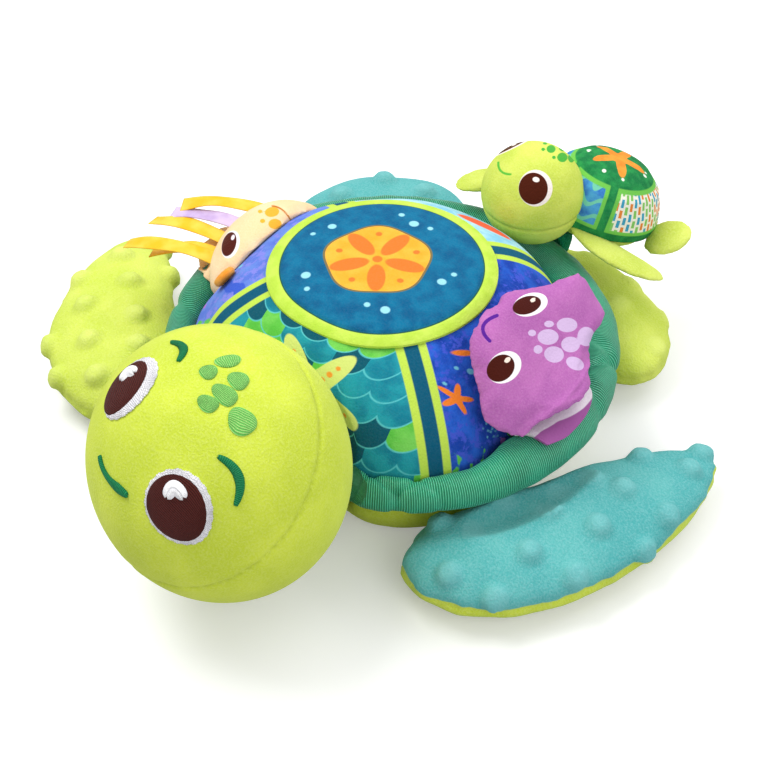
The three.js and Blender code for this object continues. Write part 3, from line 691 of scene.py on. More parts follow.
def crown_marks(u, v):
    """The crown's print: a sand dollar of five petals and five pins, with bubbles round it."""
    points = crown_place(u, v)
    x, y = from_crown(points)
    petals = [turned(x, y, -at) for at in range(18, 378, 72)]
    bubbles = ((10, 31, 2.0), (22, 34, 1.3), (82, 32, 1.3), (96, 30, 2.2), (110, 34, 1.4), (168, 31, 1.9),
               (184, 34, 1.2), (236, 32, 2.1), (250, 35, 1.3), (300, 30, 1.4), (314, 33, 2.1))
    return {
        "band": np.where(v < 0.55, crown_band(points), 3.0),
        "dollar": 22.5 + 0.9 * np.cos(5 * (np.arctan2(y, x) - math.radians(54))) - np.hypot(x, y),
        "petal": np.max([4.4 - np.hypot((a - 12.5) / 2.0, b / 0.9) for a, b in petals], axis=0),
        "pin": dots_distance(
            x, y, [(*around((0, 0), 17.5, at), 1.5) for at in range(54, 414, 72)] + [(0, 0, 2.2)]),
        "crown_bubble": dots_distance(x, y, [(*around((0, 0), r, at), w) for at, r, w in bubbles]),
    }


def crown_print():
    s = Shader("crown_print")
    mottle = s.patches(7, 0.3, 0.7, 4.0)
    rim = s.ramp(s.calc("ABSOLUTE", s.calc("ADD", s.attribute("dollar"), 0.3)), 0.7, 0.3)
    # Painted shade: a dark line along the stitched groove at the band's edge.
    line = s.ramp(s.calc("ABSOLUTE", s.attribute("band")), 0.45, 0.1)
    ground = s.layered(s.mix(mottle, (0, 88, 132), (8, 112, 152)), (
        ("crown_bubble", (150, 214, 228)), ("dollar", s.mix(mottle, (246, 166, 44), (250, 180, 62)))))
    ground = s.layered(s.mix(rim, ground, (120, 110, 70)), (
        ("petal", (243, 120, 44)), ("pin", (243, 120, 44)),
        ("band", s.mix(mottle, (182, 216, 70), (200, 228, 92)))))
    return printed_pile(s, s.mix(line, ground, (20, 84, 70)))


crown = grid("crown_pad", 256, 120, crown_place, [crown_print()], crown_marks)
finished(crown, "shell_crown", "mother")

# Rim roll: a stuffed tube of ribbed satin, gathered round the edge of the shell and sewn over its foot.
# It thins in front, where the shell swells over it, and deeper folds show where the satin is pulled in.
RIM_HEIGHT, RIM_TUBE = 46, 9.8
rim_folds = ((30, 2.0, 1.7, 3), (36, 2.6, 1.8, -4), (42, 2.2, 1.5, 3), (47, 1.6, 1.4, -3),
             (104, 2.0, 2.2, 5), (112, 2.4, 2.0, -5), (121, 2.0, 2.0, 4), (-63, 1.4, 1.6, 3))


def rim_line(angle):
    """Radius and height of the middle of the rim roll, and the roll's own radius."""
    front = front_bulge(angle)
    side = np.exp(-((np.degrees(angle) - 78) / 30) ** 2)
    ring = outline_radius(angle) + 2.8 * front + 2.0 * side
    return ring, RIM_HEIGHT - 1.8 * front - 0.6 * side, RIM_TUBE - 2.6 * front + 1.0 * side


def rim_place(u, v):
    angle, turn = 2 * math.pi * (u - 0.5), 2 * math.pi * v
    ring, height, tube = rim_line(angle)
    gather = 0.16 * np.sin(41 * angle + 2 * np.sin(turn)) * (0.6 + 0.4 * np.sin(7 * angle))
    gather += 0.3 * np.sin(11 * angle + 1.5 * np.cos(turn + 2 * angle)) * np.sin(turn + 3 * angle)
    for at, depth, width, lean in rim_folds:
        off = np.degrees(angle) - at + lean * np.cos(turn)
        gather -= depth * np.exp(-(off / width) ** 2) * (0.5 + 0.5 * np.sin(turn + 0.6))
    tube = tube + gather
    far = ring + tube * np.cos(turn)
    return np.stack([far * np.sin(angle), -far * np.cos(angle), height + tube * np.sin(turn)], -1)


def rim_satin():
    """Ribbed satin: fine cords across the roll, with painted highlights in pale mint along their crests."""
    s = Shader("rim_satin")
    parts = s.add("SeparateXYZ", {0: s.add("TexCoord").outputs["UV"]})
    wander = s.calc("MULTIPLY", s.noise(18), 5.0)
    ribs = s.calc("SINE", s.calc("MULTIPLY_ADD", parts.outputs[0], 2 * math.pi * 640, wander))
    ground = s.mix(s.patches(16, 0.35, 0.7, 3.0), (6, 132, 90), (18, 166, 120))
    # Painted highlight: the rib crests are mixed towards pale mint.
    painted_crest_highlight = s.calc("MULTIPLY", s.ramp(s.calc("MULTIPLY_ADD", s.noise(1.2), 0.8, ribs), 0.2, 1.3), 0.8)
    return s.finish(s.mix(painted_crest_highlight, ground, (112, 232, 188)), ribs, 0.35, 0.36, 0.1, (170, 255, 220), 0.6)


rim = grid("rim_tube", 1100, 40, rim_place, [rim_satin()])
move_points(rim, clear_of_head(points_of(rim)))
finished(rim, "rim_roll", "mother")

# Camera: the photograph's angle and distance, with the toy's middle where the photograph has it. The near
# flipper's dots, the ray's outline and the printed faces are placed by what it sees, in pixels of a
# picture this wide.
PICTURE = 765
BACK = Vector((0.4652, -0.5950, 0.6554)).normalized()
RIGHT = Vector((0.788, 0.616, 0)).normalized()
UP = BACK.cross(RIGHT)
camera = bpy.data.objects.new("camera", bpy.data.cameras.new("camera"))
camera.data.lens = 100.6
camera.data.shift_x = -0.0124
camera.data.shift_y = -0.0516
camera.matrix_world = Matrix((RIGHT, UP, BACK)).transposed().to_4x4()
camera.matrix_world.translation = Vector((0, 0, 0.045)) + BACK * 0.95
scene.collection.objects.link(camera)
scene.camera = camera
BACK, RIGHT, UP = np.array(BACK), np.array(RIGHT), np.array(UP)


def seen_at(points):
    """Where places in millimetres are seen from the camera, in pixels."""
    away = points * MM - np.array(camera.matrix_world.translation)
    size = PICTURE * camera.data.lens / 36 / -(away @ BACK)
    return (PICTURE * (0.5 - camera.data.shift_x) + size * (away @ RIGHT),
            PICTURE * (0.5 + camera.data.shift_y) - size * (away @ UP))


# Flippers: four flat stuffed limbs with a dotted plush top and a plain lime underside, sewn together
# along their edge and onto the belly under the rim roll. The dots are pressed up from below; two flippers
# are aqua and two are lime.
FLIPPER_SEAM = 14
random.seed(7)


def flipper_fabric(name, top, top_shade, top_light):
    """Dotted plush above the seam, plain lime plush below it, with a painted highlight on the raised dots."""
    s = Shader(name)
    broad = s.patches(26, 0.35, 0.7)
    seam = s.ramp(s.calc("ADD", s.attribute("over_seam"), s.calc("MULTIPLY", s.noise(5), 1.4)), 0.2, 0.7)
    # Painted highlight: each dot is mixed towards the pale tint by its height.
    upper = s.mix(s.calc("MULTIPLY", s.attribute("dot"), 0.2), s.mix(broad, top_shade, top), top_light)
    ground = s.mix(seam, s.mix(broad, LIME_SHADE, LIME), upper)
    tufts = s.calc("MULTIPLY", s.patches(0.9, 0.36, 0.72, 3.0, 0.7), 0.32)
    worn = s.mix(tufts, ground, s.mix(seam, LIME_LIGHT, top_light))
    return s.finish(worn, pile(s), 0.45, 0.95, 0.35, top_light)


aqua_minky = flipper_fabric("aqua_minky", (92, 178, 176), (76, 168, 168), (160, 214, 216))
lime_minky = flipper_fabric("lime_minky", (216, 230, 98), (198, 218, 74), (236, 246, 160))


def lattice(low, high, spacing, turn):
    """Places of pressed dots in rows, seen from above, with a little hand-made unevenness."""
    places = []
    for i in range(-14, 15):
        for j in range(-14, 15):
            x = spacing * (i + 0.5 * (j % 2)) + random.uniform(-2, 2)
            y = spacing * 0.87 * j + random.uniform(-2, 2)
            x, y = turned(x, y, turn)
            if low[0] < x < high[0] and low[1] < y < high[1]:
                places.append((x, y))
    return places


def raise_dots(piece, places, height, radius, seen=False):
    """Pressed dots of the fabric, at places seen from above in millimetres or from the camera in pixels."""
    points, normals = points_of(piece), normals_of(piece)
    upper = np.where(normals @ (BACK if seen else np.array((0, 0, 1))) > 0.25)[0]
    across, along = seen_at(points[upper]) if seen else points[upper, :2].T
    rise = np.zeros(len(points))
    for x, y in places:
        gaps = np.hypot(across - x, along - y)
        nearest = upper[gaps.argmin()]
        if gaps.min() < 6:
            far = np.linalg.norm(points - points[nearest], axis=1) / radius
            swell = np.clip((1 - far) * 1.6, 0, 1)
            rise = np.maximum(rise, swell * swell * (3 - 2 * swell))
    move_points(piece, points + normals * (height * rise)[:, None])
    keep(piece, "dot", rise)


def clear_when_lifted(points, hinge, heading, lift):
    """Lowers what would press into the rim roll or the shell when a flipper is lifted as far as it goes."""
    out = np.array([math.cos(math.radians(heading)), math.sin(math.radians(heading)), 0])
    c, s = math.cos(math.radians(lift)), math.sin(math.radians(lift))
    beyond, height = (points - hinge) @ out, points[:, 2] - FLIPPER_SEAM
    moved = points + np.outer(beyond * (c - 1) - height * s, out)
    angle = np.arctan2(moved[:, 0], -moved[:, 1])
    ring, rim_height, tube = rim_line(angle)
    off = (np.hypot(moved[:, 0], moved[:, 1]) - ring) / (tube + 1.6)
    ceiling = rim_height - (tube + 1.6) * np.sqrt(np.clip(1 - off * off, 0, 1))
    ceiling = np.where(off > 1, 99, np.where(off < 0, np.minimum(ceiling, 36.5), ceiling))
    excess = 1.2 * np.logaddexp(0, (FLIPPER_SEAM + beyond * s + height * c - ceiling) / 1.2)
    return points - np.outer(excess, s * out + [0, 0, c])


def fanned(points, side, spread, reach, shift):
    """Spreads a flipper sideways about the body's middle, away from one side, and makes it longer."""
    turn, far = np.degrees(np.arctan2(points[:, 1], points[:, 0])), np.hypot(points[:, 0], points[:, 1])
    held = turn.min() if side > 0 else turn.max()
    turn, far = np.radians(held + shift + (turn - held) * spread), 84 + (far - 84) * reach
    return np.stack([far * np.cos(turn), far * np.sin(turn), points[:, 2]], -1)


near_dots = ((506, 499), (550, 506), (477, 527), (437, 524), (529, 551), (598, 527), (624, 490), (641, 459),
             (451, 574), (494, 598), (574, 577), (645, 553), (668, 515), (689, 471), (562, 487), (592, 478),
             (701, 453), (611, 598))
for name, fabric, dots_turn, hinge, heading, lift, fan, tall in (
        ("front_flipper_left", aqua_minky, 0, (66.8, -54.1, 14), -20, 20, None, 1.24),
        ("front_flipper_right", lime_minky, 20, (-66.8, -54.1, 14), 200, 20, None, 1.3),
        ("rear_flipper_left", lime_minky, 50, (43.3, 75.1, 14), 60, 15, (1, 1.6, 1.08, 0), 1.4),
        ("rear_flipper_right", aqua_minky, 10, (-54.6, 67.4, 14), 129, 25, (-1, 1.2, 1.06, 5), 1.2)):
    flipper = stuffed(name + "_limb", name, 3.2, [fabric], swell=2.2, start_in=0.4)
    shape, facing = points_of(flipper), normals_of(flipper)
    near = name == "front_flipper_left"
    seam_height = shape[:, 2] - FLIPPER_SEAM
    if fan:
        shape = fanned(shape, *fan)
    else:
        shape[:, 1] = -50 + (shape[:, 1] + 50) * 1.1
    away = np.hypot(shape[:, 0], shape[:, 1]) - 97
    shoulder = 3.5 * np.exp(-((away - 4) / 22) ** 2) if near else 0.0
    if near:
        shape -= np.outer(6.0 * np.clip(away / 12, 0, 1), RIGHT)
    upper = np.clip(seam_height, 0, None)
    shape[:, 2] += (tall - 1) * upper + shoulder * np.clip(upper / 8, 0, 1)
    flat = seam_height + 0.7 * np.sin(shape[:, 0] / 5) * np.sin(shape[:, 1] / 6)
    edge = np.exp(-(flat / 2.2) ** 2) * (np.abs(facing[:, 2]) < 0.8)
    pucker = 0.5 + 0.5 * np.sin((shape[:, 0] + shape[:, 1]) / 2.6) * np.sin((shape[:, 0] - shape[:, 1]) / 3.4)
    sag = 0.8 * np.sin(shape[:, 0] / 8.5 + 1) * np.sin(shape[:, 1] / 9.5) * (facing[:, 2] > 0.3)
    move_points(flipper, shape - facing * (edge * (0.7 + 1.0 * pucker) + sag)[:, None])
    low, high = shape.min(axis=0), shape.max(axis=0)
    dots = near_dots if near else lattice(low, high, 25, dots_turn)
    raise_dots(flipper, dots, 1.5 if name == "rear_flipper_left" else 3.8, 7.2, near)
    move_points(flipper, clear_when_lifted(points_of(flipper), hinge, heading, lift))
    keep(flipper, "over_seam", flat - 1.6 if near else flat + 2.6)
    finished(flipper, name, name)


# Ray: a padded purple flap with a printed face, sewn on by its upper edge so that it lifts. Under it a
# thin white cloth with a purple lower edge is sewn flat on the shell and reaches down over the rim roll.
MM_PER_PIXEL = 0.444


def slope_frame(angle, share):
    step = 0.01
    origin = dome_point(angle, share)
    along = dome_point(angle + step, share) - dome_point(angle - step, share)
    down = dome_point(angle, share + step) - dome_point(angle, share - step)
    along, down = along / np.linalg.norm(along), down / np.linalg.norm(down)
    up = np.cross(down, along)
    return origin, np.array([along, down, up / np.linalg.norm(up)])


def printed_plush(name, ground, shade, light, prints):
    """Plush with a printed face: each print is a distance kept on the mesh and its colour."""
    s = Shader(name)
    tufts = s.calc("MULTIPLY", s.patches(0.8, 0.38, 0.75, 3.0, 0.7), 0.3)
    colour = s.layered(s.mix(tufts, s.mix(s.patches(15, 0.35, 0.7), shade, ground), light), prints, 0.3)
    # Painted shade: darker along a seam groove, where the mesh keeps a seam attribute.
    colour = s.mix(s.attribute("seam"), colour, tuple(c * 0.7 for c in shade))
    return s.finish(colour, pile(s), 0.3, 0.92, 0.12, light)


def in_plane(pixels, axes):
    """The move within a flat piece that shifts it by so many pixels to the right and down in the picture."""
    picture = np.array([axes[:2] @ RIGHT, -(axes[:2] @ UP)])
    return MM_PER_PIXEL * np.reshape(pixels, (-1, 2)) @ np.linalg.inv(picture).T @ axes[:2]


def seen_from(middle, points):
    """Where points are seen, in pixels to the right and down of a middle."""
    px, py = seen_at(points)
    return px - middle[0], py - middle[1]


def reach_of(outline, degrees):
    """How far an outline, given as angles and reaches, reaches at some angles."""
    return np.interp(degrees, *np.array(outline, float).T, period=360)


def drawn_to(points, middle, outline, axes, hold=0.35):
    """Moves a flat piece within its plane until its edge is seen along an outline."""
    px, py = seen_from(middle, points)
    turn, far = np.degrees(np.arctan2(py, px)), np.hypot(px, py)
    steps = np.arange(-180, 180, 10)
    edge = [far[np.abs((turn - step + 180) % 360 - 180) < 7].max() for step in steps]
    edge = np.interp(turn, steps, edge, period=360)
    stretch = np.clip((far / edge - hold) / (1 - hold), 0, 1) * (reach_of(outline, turn) / edge - 1)
    return points + in_plane(np.stack([px, py], -1) * stretch[:, None], axes)


def raised_wing(local):
    """How far the ray's free corner and lower edge stand off the shell."""
    corner, lower = np.clip((local[:, 0] - 18) / 24, 0, 1), np.clip((local[:, 1] - 4) / 20, 0, 1)
    return 4.0 * corner ** 1.5 + 6.5 * lower ** 1.6


def over_rim(points, normals, outward):
    """Moves the part of a thin sheet that would lie in the rim roll out over its surface."""
    angle, radial = np.arctan2(points[:, 0], -points[:, 1]), np.hypot(points[:, 0], points[:, 1])
    ring, rim_height, tube = rim_line(angle)
    across, up = radial - ring, points[:, 2] - rim_height
    tube = tube + 0.4 + 1.3 * (1 + normals @ outward)
    up = np.where(np.hypot(across, up) < tube, np.maximum(up, 3.0), up)
    push = np.maximum(tube / np.maximum(np.hypot(across, up), 0.1), 1)
    points = points * [1, 1, 0] * (1 + across * (push - 1) / radial)[:, None]
    points[:, 2] = rim_height + up * push
    return points


def over_shell(points, normals, outward):
    """Moves the part of a thin sheet that would lie in the shell out over its surface."""
    bpy.context.view_layer.update()
    surface = BVHTree.FromObject(shell, bpy.context.evaluated_depsgraph_get())
    laid = points.copy()
    for i, point in enumerate(points):
        place, normal, face, far = surface.find_nearest(Vector(point * MM))
        gap = 0.5 + 0.6 * (1 + normals[i] @ outward)
        above = (point - np.array(place) / MM) @ np.array(normal)
        laid[i] += np.array(normal) * max(gap - above, 0)
    return laid


ray_origin, ray_axes = slope_frame(math.radians(91), 0.85)
ray_middle = (535, 355)
ray_outline = ((-174, 67), (-138, 68), (-109, 68), (-85, 73), (-62, 94), (-45, 85), (-31, 83), (-20, 68),
               (-5, 57), (17, 58), (28, 64), (47, 65), (71, 63), (85, 69), (99, 85), (118, 86), (131, 82),
               (143, 71), (167, 65))
lining_outline = ((-174, 52), (-138, 52), (-109, 52), (-85, 54), (-60, 60), (-20, 44), (0, 38), (17, 42),
                  (30, 55), (48, 70), (64, 81), (80, 91), (90, 94), (97, 88), (112, 74), (140, 56), (167, 52))
low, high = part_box("ray_lining")
lining_middle = (np.array(low) + np.array(high)) / 2 / MM
px, py = seen_at(lining_middle[None, :])
lining_middle = lining_middle + in_plane([ray_middle[0] - px[0], ray_middle[1] - py[0]], ray_axes)[0]


def lining_place(u, v):
    turn = 2 * math.pi * (u - 0.5)
    edge = reach_of(lining_outline, np.degrees(turn))
    share = np.where(v < 0.6, np.sin(np.clip(v / 0.6, 0, 1) * math.pi / 2), (1 - v) / 0.4)
    spread = np.stack([edge * share * np.cos(turn), edge * share * np.sin(turn)], -1)
    flat = lining_middle + in_plane(spread, ray_axes)
    roll = 2.2 * np.exp(-((edge * (1 - share) - 7) / 6) ** 2)
    rounded = np.sqrt(np.clip(1.01 - share ** 8, 0, 1))
    lift = 0.8 * raised_wing((flat - ray_origin) @ ray_axes.T)
    lift += np.where(v < 0.6, (0.9 + roll) * rounded, -0.6 * rounded)
    rise = np.outer(lift, [ray_axes[2] @ RIGHT, -(ray_axes[2] @ UP)]) / MM_PER_PIXEL
    return flat + np.outer(lift, ray_axes[2]) - in_plane(rise, ray_axes)


def on_top(piece, values):
    """Those values where the camera sees the piece, and none on its far side."""
    return np.where(normals_of(piece) @ BACK > 0.1, values, -3.0)


def seen_ovals(piece, *ovals):
    """Distance inside ovals as seen: each a centre and half sizes in pixels, and a turn."""
    px, py = seen_at(points_of(piece))
    return on_top(piece, np.max([oval_distance(px, py, *oval) for oval in ovals], axis=0))


def seen_line(piece, course, half_width):
    """Distance inside an arc as seen, through three places in pixels."""
    px, py = seen_at(points_of(piece))
    start, middle, end = [np.array(p, float) for p in course]
    bend = 2 * middle - (start + end) / 2
    best = np.full(len(px), 99.0)
    for t in np.linspace(0, 1, 25):
        p = (1 - t) ** 2 * start + 2 * t * (1 - t) * bend + t ** 2 * end
        best = np.minimum(best, np.hypot(px - p[0], py - p[1]))
    return on_top(piece, half_width - best)


ray_lining_cloth = printed_plush("ray_lining_cloth", (232, 224, 232), (214, 204, 216), (255, 255, 255), [
    ("lining_edge", (160, 90, 156))])
lining = grid("ray_lining_pad", 160, 50, lining_place, [ray_lining_cloth])
move_points(lining, over_rim(points_of(lining), normals_of(lining), ray_axes[2]))
move_points(lining, over_shell(points_of(lining), normals_of(lining), ray_axes[2]))
px, py = seen_from(ray_middle, points_of(lining))
shown_past = np.hypot(px, py) - reach_of(ray_outline, np.degrees(np.arctan2(py, px)))
keep(lining, "lining_edge", (shown_past - 7) * 0.44)
finished(lining, "ray_lining", "mother")

ray_plush = printed_plush("ray_plush", (190, 112, 182), (174, 98, 170), (216, 152, 208), [
    ("ray_spot", (214, 186, 226)), ("eye_rim", (252, 248, 250)), ("eye_iris", (72, 24, 14)),
    ("eye_glint", (255, 236, 220)), ("ray_smile", (88, 36, 146))])
ray = stuffed("ray_pad", "ray_flap", 2.0, [ray_plush], swell=1.6, start_in=0.3, soften=5)
local = (points_of(ray) - ray_origin) @ ray_axes.T
shape = points_of(ray) + np.outer(raised_wing(local), ray_axes[2])
move_points(ray, drawn_to(shape, ray_middle, ray_outline, ray_axes))
ray_spots = (((567, 325), (10.3, 7.2), 0), ((548, 337), (10.5, 7.8), 0), ((570.5, 344.5), (9.4, 7.8), 0),
             ((586, 336.5), (8.6, 9.6), 0), ((554, 354.5), (9.9, 8.1), 10), ((575, 363.5), (9.4, 6.2), 25),
             ((549, 324), (4.9, 3.3), 0), ((532, 333), (4, 3.3), 0), ((538, 349.5), (4.5, 4.3), 0))
keep(ray, "ray_spot", seen_ovals(ray, *ray_spots))
for name, *eyes in (
        ("eye_rim", ((530.3, 304.6), (17.8, 11.2), -18), ((504.2, 367.3), (18.4, 14.8), -38)),
        ("eye_iris", ((526.8, 305.2), (14.8, 8.8), -18), ((500.6, 368.2), (15.2, 12.4), -42)),
        ("eye_glint", ((533, 300), (3.2, 2.0), -30), ((507.4, 360), (3.6, 2.4), -40))):
    keep(ray, name, seen_ovals(ray, *eyes))
keep(ray, "ray_smile", seen_line(ray, ((497, 315.5), (483.0, 326.5), (489.7, 341)), 1.9))
finished(ray, "ray_flap", "ray")

# Octopus: a stuffed half ball of peach plush with a printed face, sewn flat on the side of the shell. A
# satin rosette sits at its edge. A darker line of painted shade lies where the plush creases.
octopus_origin, octopus_axes = slope_frame(math.radians(-90), 0.91)
octopus_plush = printed_plush("octopus_plush", (255, 224, 180), (255, 210, 160), (255, 234, 204), [
    ("eye_rim", (250, 244, 248)), ("eye_iris", (80, 28, 22)), ("eye_glint", (240, 226, 236)),
    ("octopus_spot", (246, 174, 54)), ("painted_crease_shade", (196, 118, 40))])
octopus = stuffed("octopus_body", "octopus", 2.0, [octopus_plush], swell=1.6, start_in=0.5, soften=2)
local = (points_of(octopus) - octopus_origin) @ octopus_axes.T
domed = np.clip(1.05 - np.hypot(local[:, 0] / 40, local[:, 1] / 27) ** 2, 0, 1)
fuller = np.clip(normals_of(octopus) @ octopus_axes[2], 0, 1) * 4.5 * domed
move_points(octopus, points_of(octopus) + fuller[:, None] * octopus_axes[2])
keep(octopus, "eye_rim", seen_ovals(octopus, ((230.5, 244.5), (8.6, 14.3), 17)))
keep(octopus, "eye_iris", seen_ovals(octopus, ((229, 244.2), (6.9, 12.5), 17)))
keep(octopus, "eye_glint", seen_ovals(octopus, ((232.8, 237.5), (1.7, 3.0), 20)))
keep(octopus, "octopus_spot", seen_ovals(
    octopus, ((272, 212), (7.2, 5.0), -10), ((275, 224), (6.6, 5.2), 0), ((260, 211.5), (2.2, 2.0), 0),
    ((262.5, 221), (2.6, 2.2), 0), ((287, 226), (3.4, 3.0), 0)))
# Painted shade: a darker line where the plush creases.
keep(octopus, "painted_crease_shade", seen_line(octopus, ((272, 206), (283, 210.5), (292, 222.5)), 0.9))
finished(octopus, "octopus", "mother")


def satin(name, colour, light):
    """Plain satin ribbon: fine shiny weave with a slightly paler sheen."""
    s = Shader(name)
    return s.finish(s.mix(s.patches(9, 0.3, 0.7), colour, light), s.noise(0.35), 0.12, 0.38, 0.2, light)


def resized(piece, scale, shift=(0, 0, 0)):
    """Makes a piece smaller about its own middle, and shifts it."""
    middle = points_of(piece).mean(axis=0)
    move_points(piece, middle + np.array(shift) + (points_of(piece) - middle) * scale)


orange_satin = satin("orange_satin", (240, 150, 50), (252, 182, 92))
rosette = stuffed("rosette_bow", "octopus_rosette", 0.9, [orange_satin], swell=0.4, start_in=0.2, soften=1)
resized(rosette, 0.72, (-1.0, 0, -1.5))
finished(rosette, "octopus_rosette", "mother")

# Ribbon arms: five flat satin ribbons, four yellow and one lilac, whose ends are caught in the octopus's
# edge. They reach out over the rim roll with a slight arch and curl, and hang free.
RIBBON_WIDTH, RIBBON_LENGTH = 8.0, 46
yellow_satin = satin("yellow_satin", (248, 188, 34), (254, 210, 84))
lilac_satin = satin("lilac_satin", (190, 164, 212), (216, 196, 232))
ribbons = ((0.5, 18, 1.0, 0, 0.06), (0.12, 11, 1.0, 0, 0.02), (0.33, 24, 0.8, -1, 0.12),
           (-0.17, 16, 0.9, 1, 0.04), (-0.57, 28, 0.95, 2, 0.02))
for i, (along_share, heading, length_share, level, droop) in enumerate(ribbons):
    start = octopus_origin + octopus_axes[0] * along_share * 36
    start[0] -= 11
    start[2] = 62 + 2 * level
    reach, turn = RIBBON_LENGTH * length_share, math.radians(heading)
    ahead = np.array([-math.cos(turn), -math.sin(turn), 0])
    across = np.array([math.sin(turn), -math.cos(turn), 0])

    def ribbon_place(u, v):
        curl = 0.7 * np.sin(7 * u + i) * (2 * v - 1) * u + 0.5 * np.sin(9 * u + 2 * i) * u
        points = start + np.outer(u * reach, ahead) + np.outer((2 * v - 1) * RIBBON_WIDTH / 2, across)
        points[:, 2] += curl + 3.5 * np.sin(math.pi * u) - droop * reach * u * u
        return points

    ribbon = grid(f"ribbon_{i + 1}", 60, 12, ribbon_place, [lilac_satin if i == 3 else yellow_satin])
    thick = ribbon.modifiers.new("thick", "SOLIDIFY")
    thick.thickness = 0.45 * MM
    thick.offset = 0
    finished(ribbon, f"octopus_ribbon_{i + 1}", "mother")


# Baby turtle: a small plush of its own, with a stuffed head and flippers of lime plush, a padded printed
# shell and a stuffed belly, sewn together. A hook-and-loop patch under it holds it on the mother's rim
# roll.
baby_turn = Matrix.Rotation(math.radians(-32), 3, "Z") @ Matrix.Rotation(math.radians(-20), 3, "X")
baby_axes = np.array(baby_turn.transposed())
head_low, head_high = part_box("baby_head")
baby_head_centre = (np.array(head_low) + np.array(head_high)) / 2 / MM
baby_origin = baby_head_centre - (np.array([0, -38.0, 1.0]) @ baby_axes)
BABY = {"centre": baby_head_centre + 0.9 * RIGHT, "radii": (23.7, 23.7, 23.7),
        "axes": ball_axes([0.839, -0.528, -0.132], [-0.225, -0.557, 0.8])}
BABY_HALF_WIDTH, BABY_HALF_LENGTH, BABY_RISE = 26, 28, 24


def ball_oval(yaws, pitches, centre, half, turn):
    """Distance inside an oval on the baby's head: centre in degrees, half sizes in millimetres."""
    radius = BABY["radii"][0]
    up = np.radians(np.mod(pitches - centre[1] + 180, 360) - 180) * radius * np.cos(np.radians(yaws))
    return np.maximum(oval_distance(np.radians(yaws - centre[0]) * radius, up, (0, 0), half, turn), -9.0)


baby_head_plush = printed_plush("baby_head_plush", (214, 226, 98), (194, 212, 78), (232, 244, 150), [
    ("freckle", (72, 174, 66)), ("eye_rim", (250, 238, 232)), ("eye_iris", (78, 28, 14)),
    ("eye_glint", (255, 244, 236)), ("baby_smile", (92, 188, 66))])
baby_head = ball_mesh("baby_head_ball", BABY, 6, [baby_head_plush])
angles = ball_angles(BABY, points_of(baby_head))
for name, far_eye, near_eye in (
        ("eye_rim", ((-45.0, 16.5), (7.6, 8.4), 0), ((535.5, 188.2), (17.0, 18.4), 0)),
        ("eye_iris", ((-46.0, 15.5), (6.6, 7.2), 0), ((533.2, 188.6), (14.6, 16.0), 0)),
        ("eye_glint", ((-40, 21), (1.7, 1.2), -30), ((536.0, 179.6), (3.6, 2.6), 15))):
    keep(baby_head, name, np.maximum(ball_oval(*angles, *far_eye), seen_ovals(baby_head, near_eye)))
keep(baby_head, "baby_smile", seen_line(baby_head, ((498.3, 162.5), (501.0, 171.2), (510.6, 174.4)), 1.2))
keep(baby_head, "freckle", seen_ovals(
    baby_head, ((551, 149), (4.5, 4.0)), ((563.4, 148), (4.6, 3.4)), ((562.3, 157.4), (5.1, 4.8)),
    ((571.3, 158), (3.3, 4.6)), ((543, 149.4), (1.8, 1.8)), ((553.8, 157.4), (1.9, 1.8)),
    ((545, 143.5), (2.2, 1.2))))
chin = points_of(baby_head)[:, 2] - BABY["centre"][2] + 4.2
seam_groove(baby_head, chin, 0.6, 0.8)
# Painted shade along the groove of the chin seam.
keep(baby_head, "seam", 0.5 * np.exp(-(chin / 0.5) ** 2))
finished(baby_head, "baby_head", "baby")


def baby_shell_place(u, v):
    angle = 2 * math.pi * u
    top, under = np.clip(v / 0.85, 0, 1), np.clip((v - 0.85) / 0.15, 0, 1)
    steps = np.linspace(0, 1, 8)
    share = np.interp(top, steps, [0, 0.2, 0.38, 0.62, 0.86, 0.99, 1.06, 1.03]) * (1 - under)
    rise = np.interp(top, steps, [1, 0.995, 0.965, 0.85, 0.6, 0.3, 0.0, -0.2])
    height = BABY_RISE * np.where(v < 0.85, rise, -0.04 * (1 - under))
    x, y = BABY_HALF_WIDTH * share * np.sin(angle), -BABY_HALF_LENGTH * share * np.cos(angle)
    return baby_origin + np.stack([x, y, height], -1) @ baby_axes


def clear_of_ball(points, centre, radius):
    away = points - centre
    far = np.linalg.norm(away, axis=1, keepdims=True)
    return np.where(far < radius, centre + away * radius / np.maximum(far, 1e-6), points)


def baby_marks(u, v):
    """The baby shell's print: the distance inside each panel and motif, in millimetres."""
    x, y, z = ((baby_shell_place(u, v) - baby_origin) @ baby_axes.T).T
    angle = np.degrees(np.arctan2(x / BABY_HALF_WIDTH, -y / BABY_HALF_LENGTH))
    rise = z / BABY_RISE
    near = np.hypot(x / BABY_HALF_WIDTH, y / BABY_HALF_LENGTH)
    seams = np.min([np.abs(np.mod(angle - at + 180, 360) - 180) for at in (-66, 0, 66, 180)], axis=0)
    side_gap = np.radians(seams) * BABY_HALF_WIDTH * np.maximum(near, 0.2)
    down = (0.8 - rise) * BABY_RISE
    bubbles = ((50, 1.0), (62, 0.7), (120, 1.0), (196, 0.7), (234, 1.0), (240, 0.6), (306, 1.0), (345, 0.8))
    return {
        "panel": np.minimum.reduce([side_gap - 1.8, down - 0.8, (rise + 0.02) * BABY_RISE]),
        "panel_inner": np.minimum.reduce([side_gap - 3.6, down - 2.4, (rise - 0.05) * BABY_RISE]),
        "side_panel": np.where(np.abs(angle) < 66, 3.0, -3.0),
        "dash_across": np.radians(angle) * BABY_HALF_WIDTH, "dash_down": down,
        "baby_star": np.minimum(star_distance(x, y, (0, 0), 13.5, 200, 0.34), (rise - 0.76) * 30),
        "baby_bubble": np.minimum(dots_distance(x, y, [
            (14.5 * math.cos(math.radians(t)), 14 * math.sin(math.radians(t)), w) for t, w in bubbles]),
            (rise - 0.7) * 30),
    }


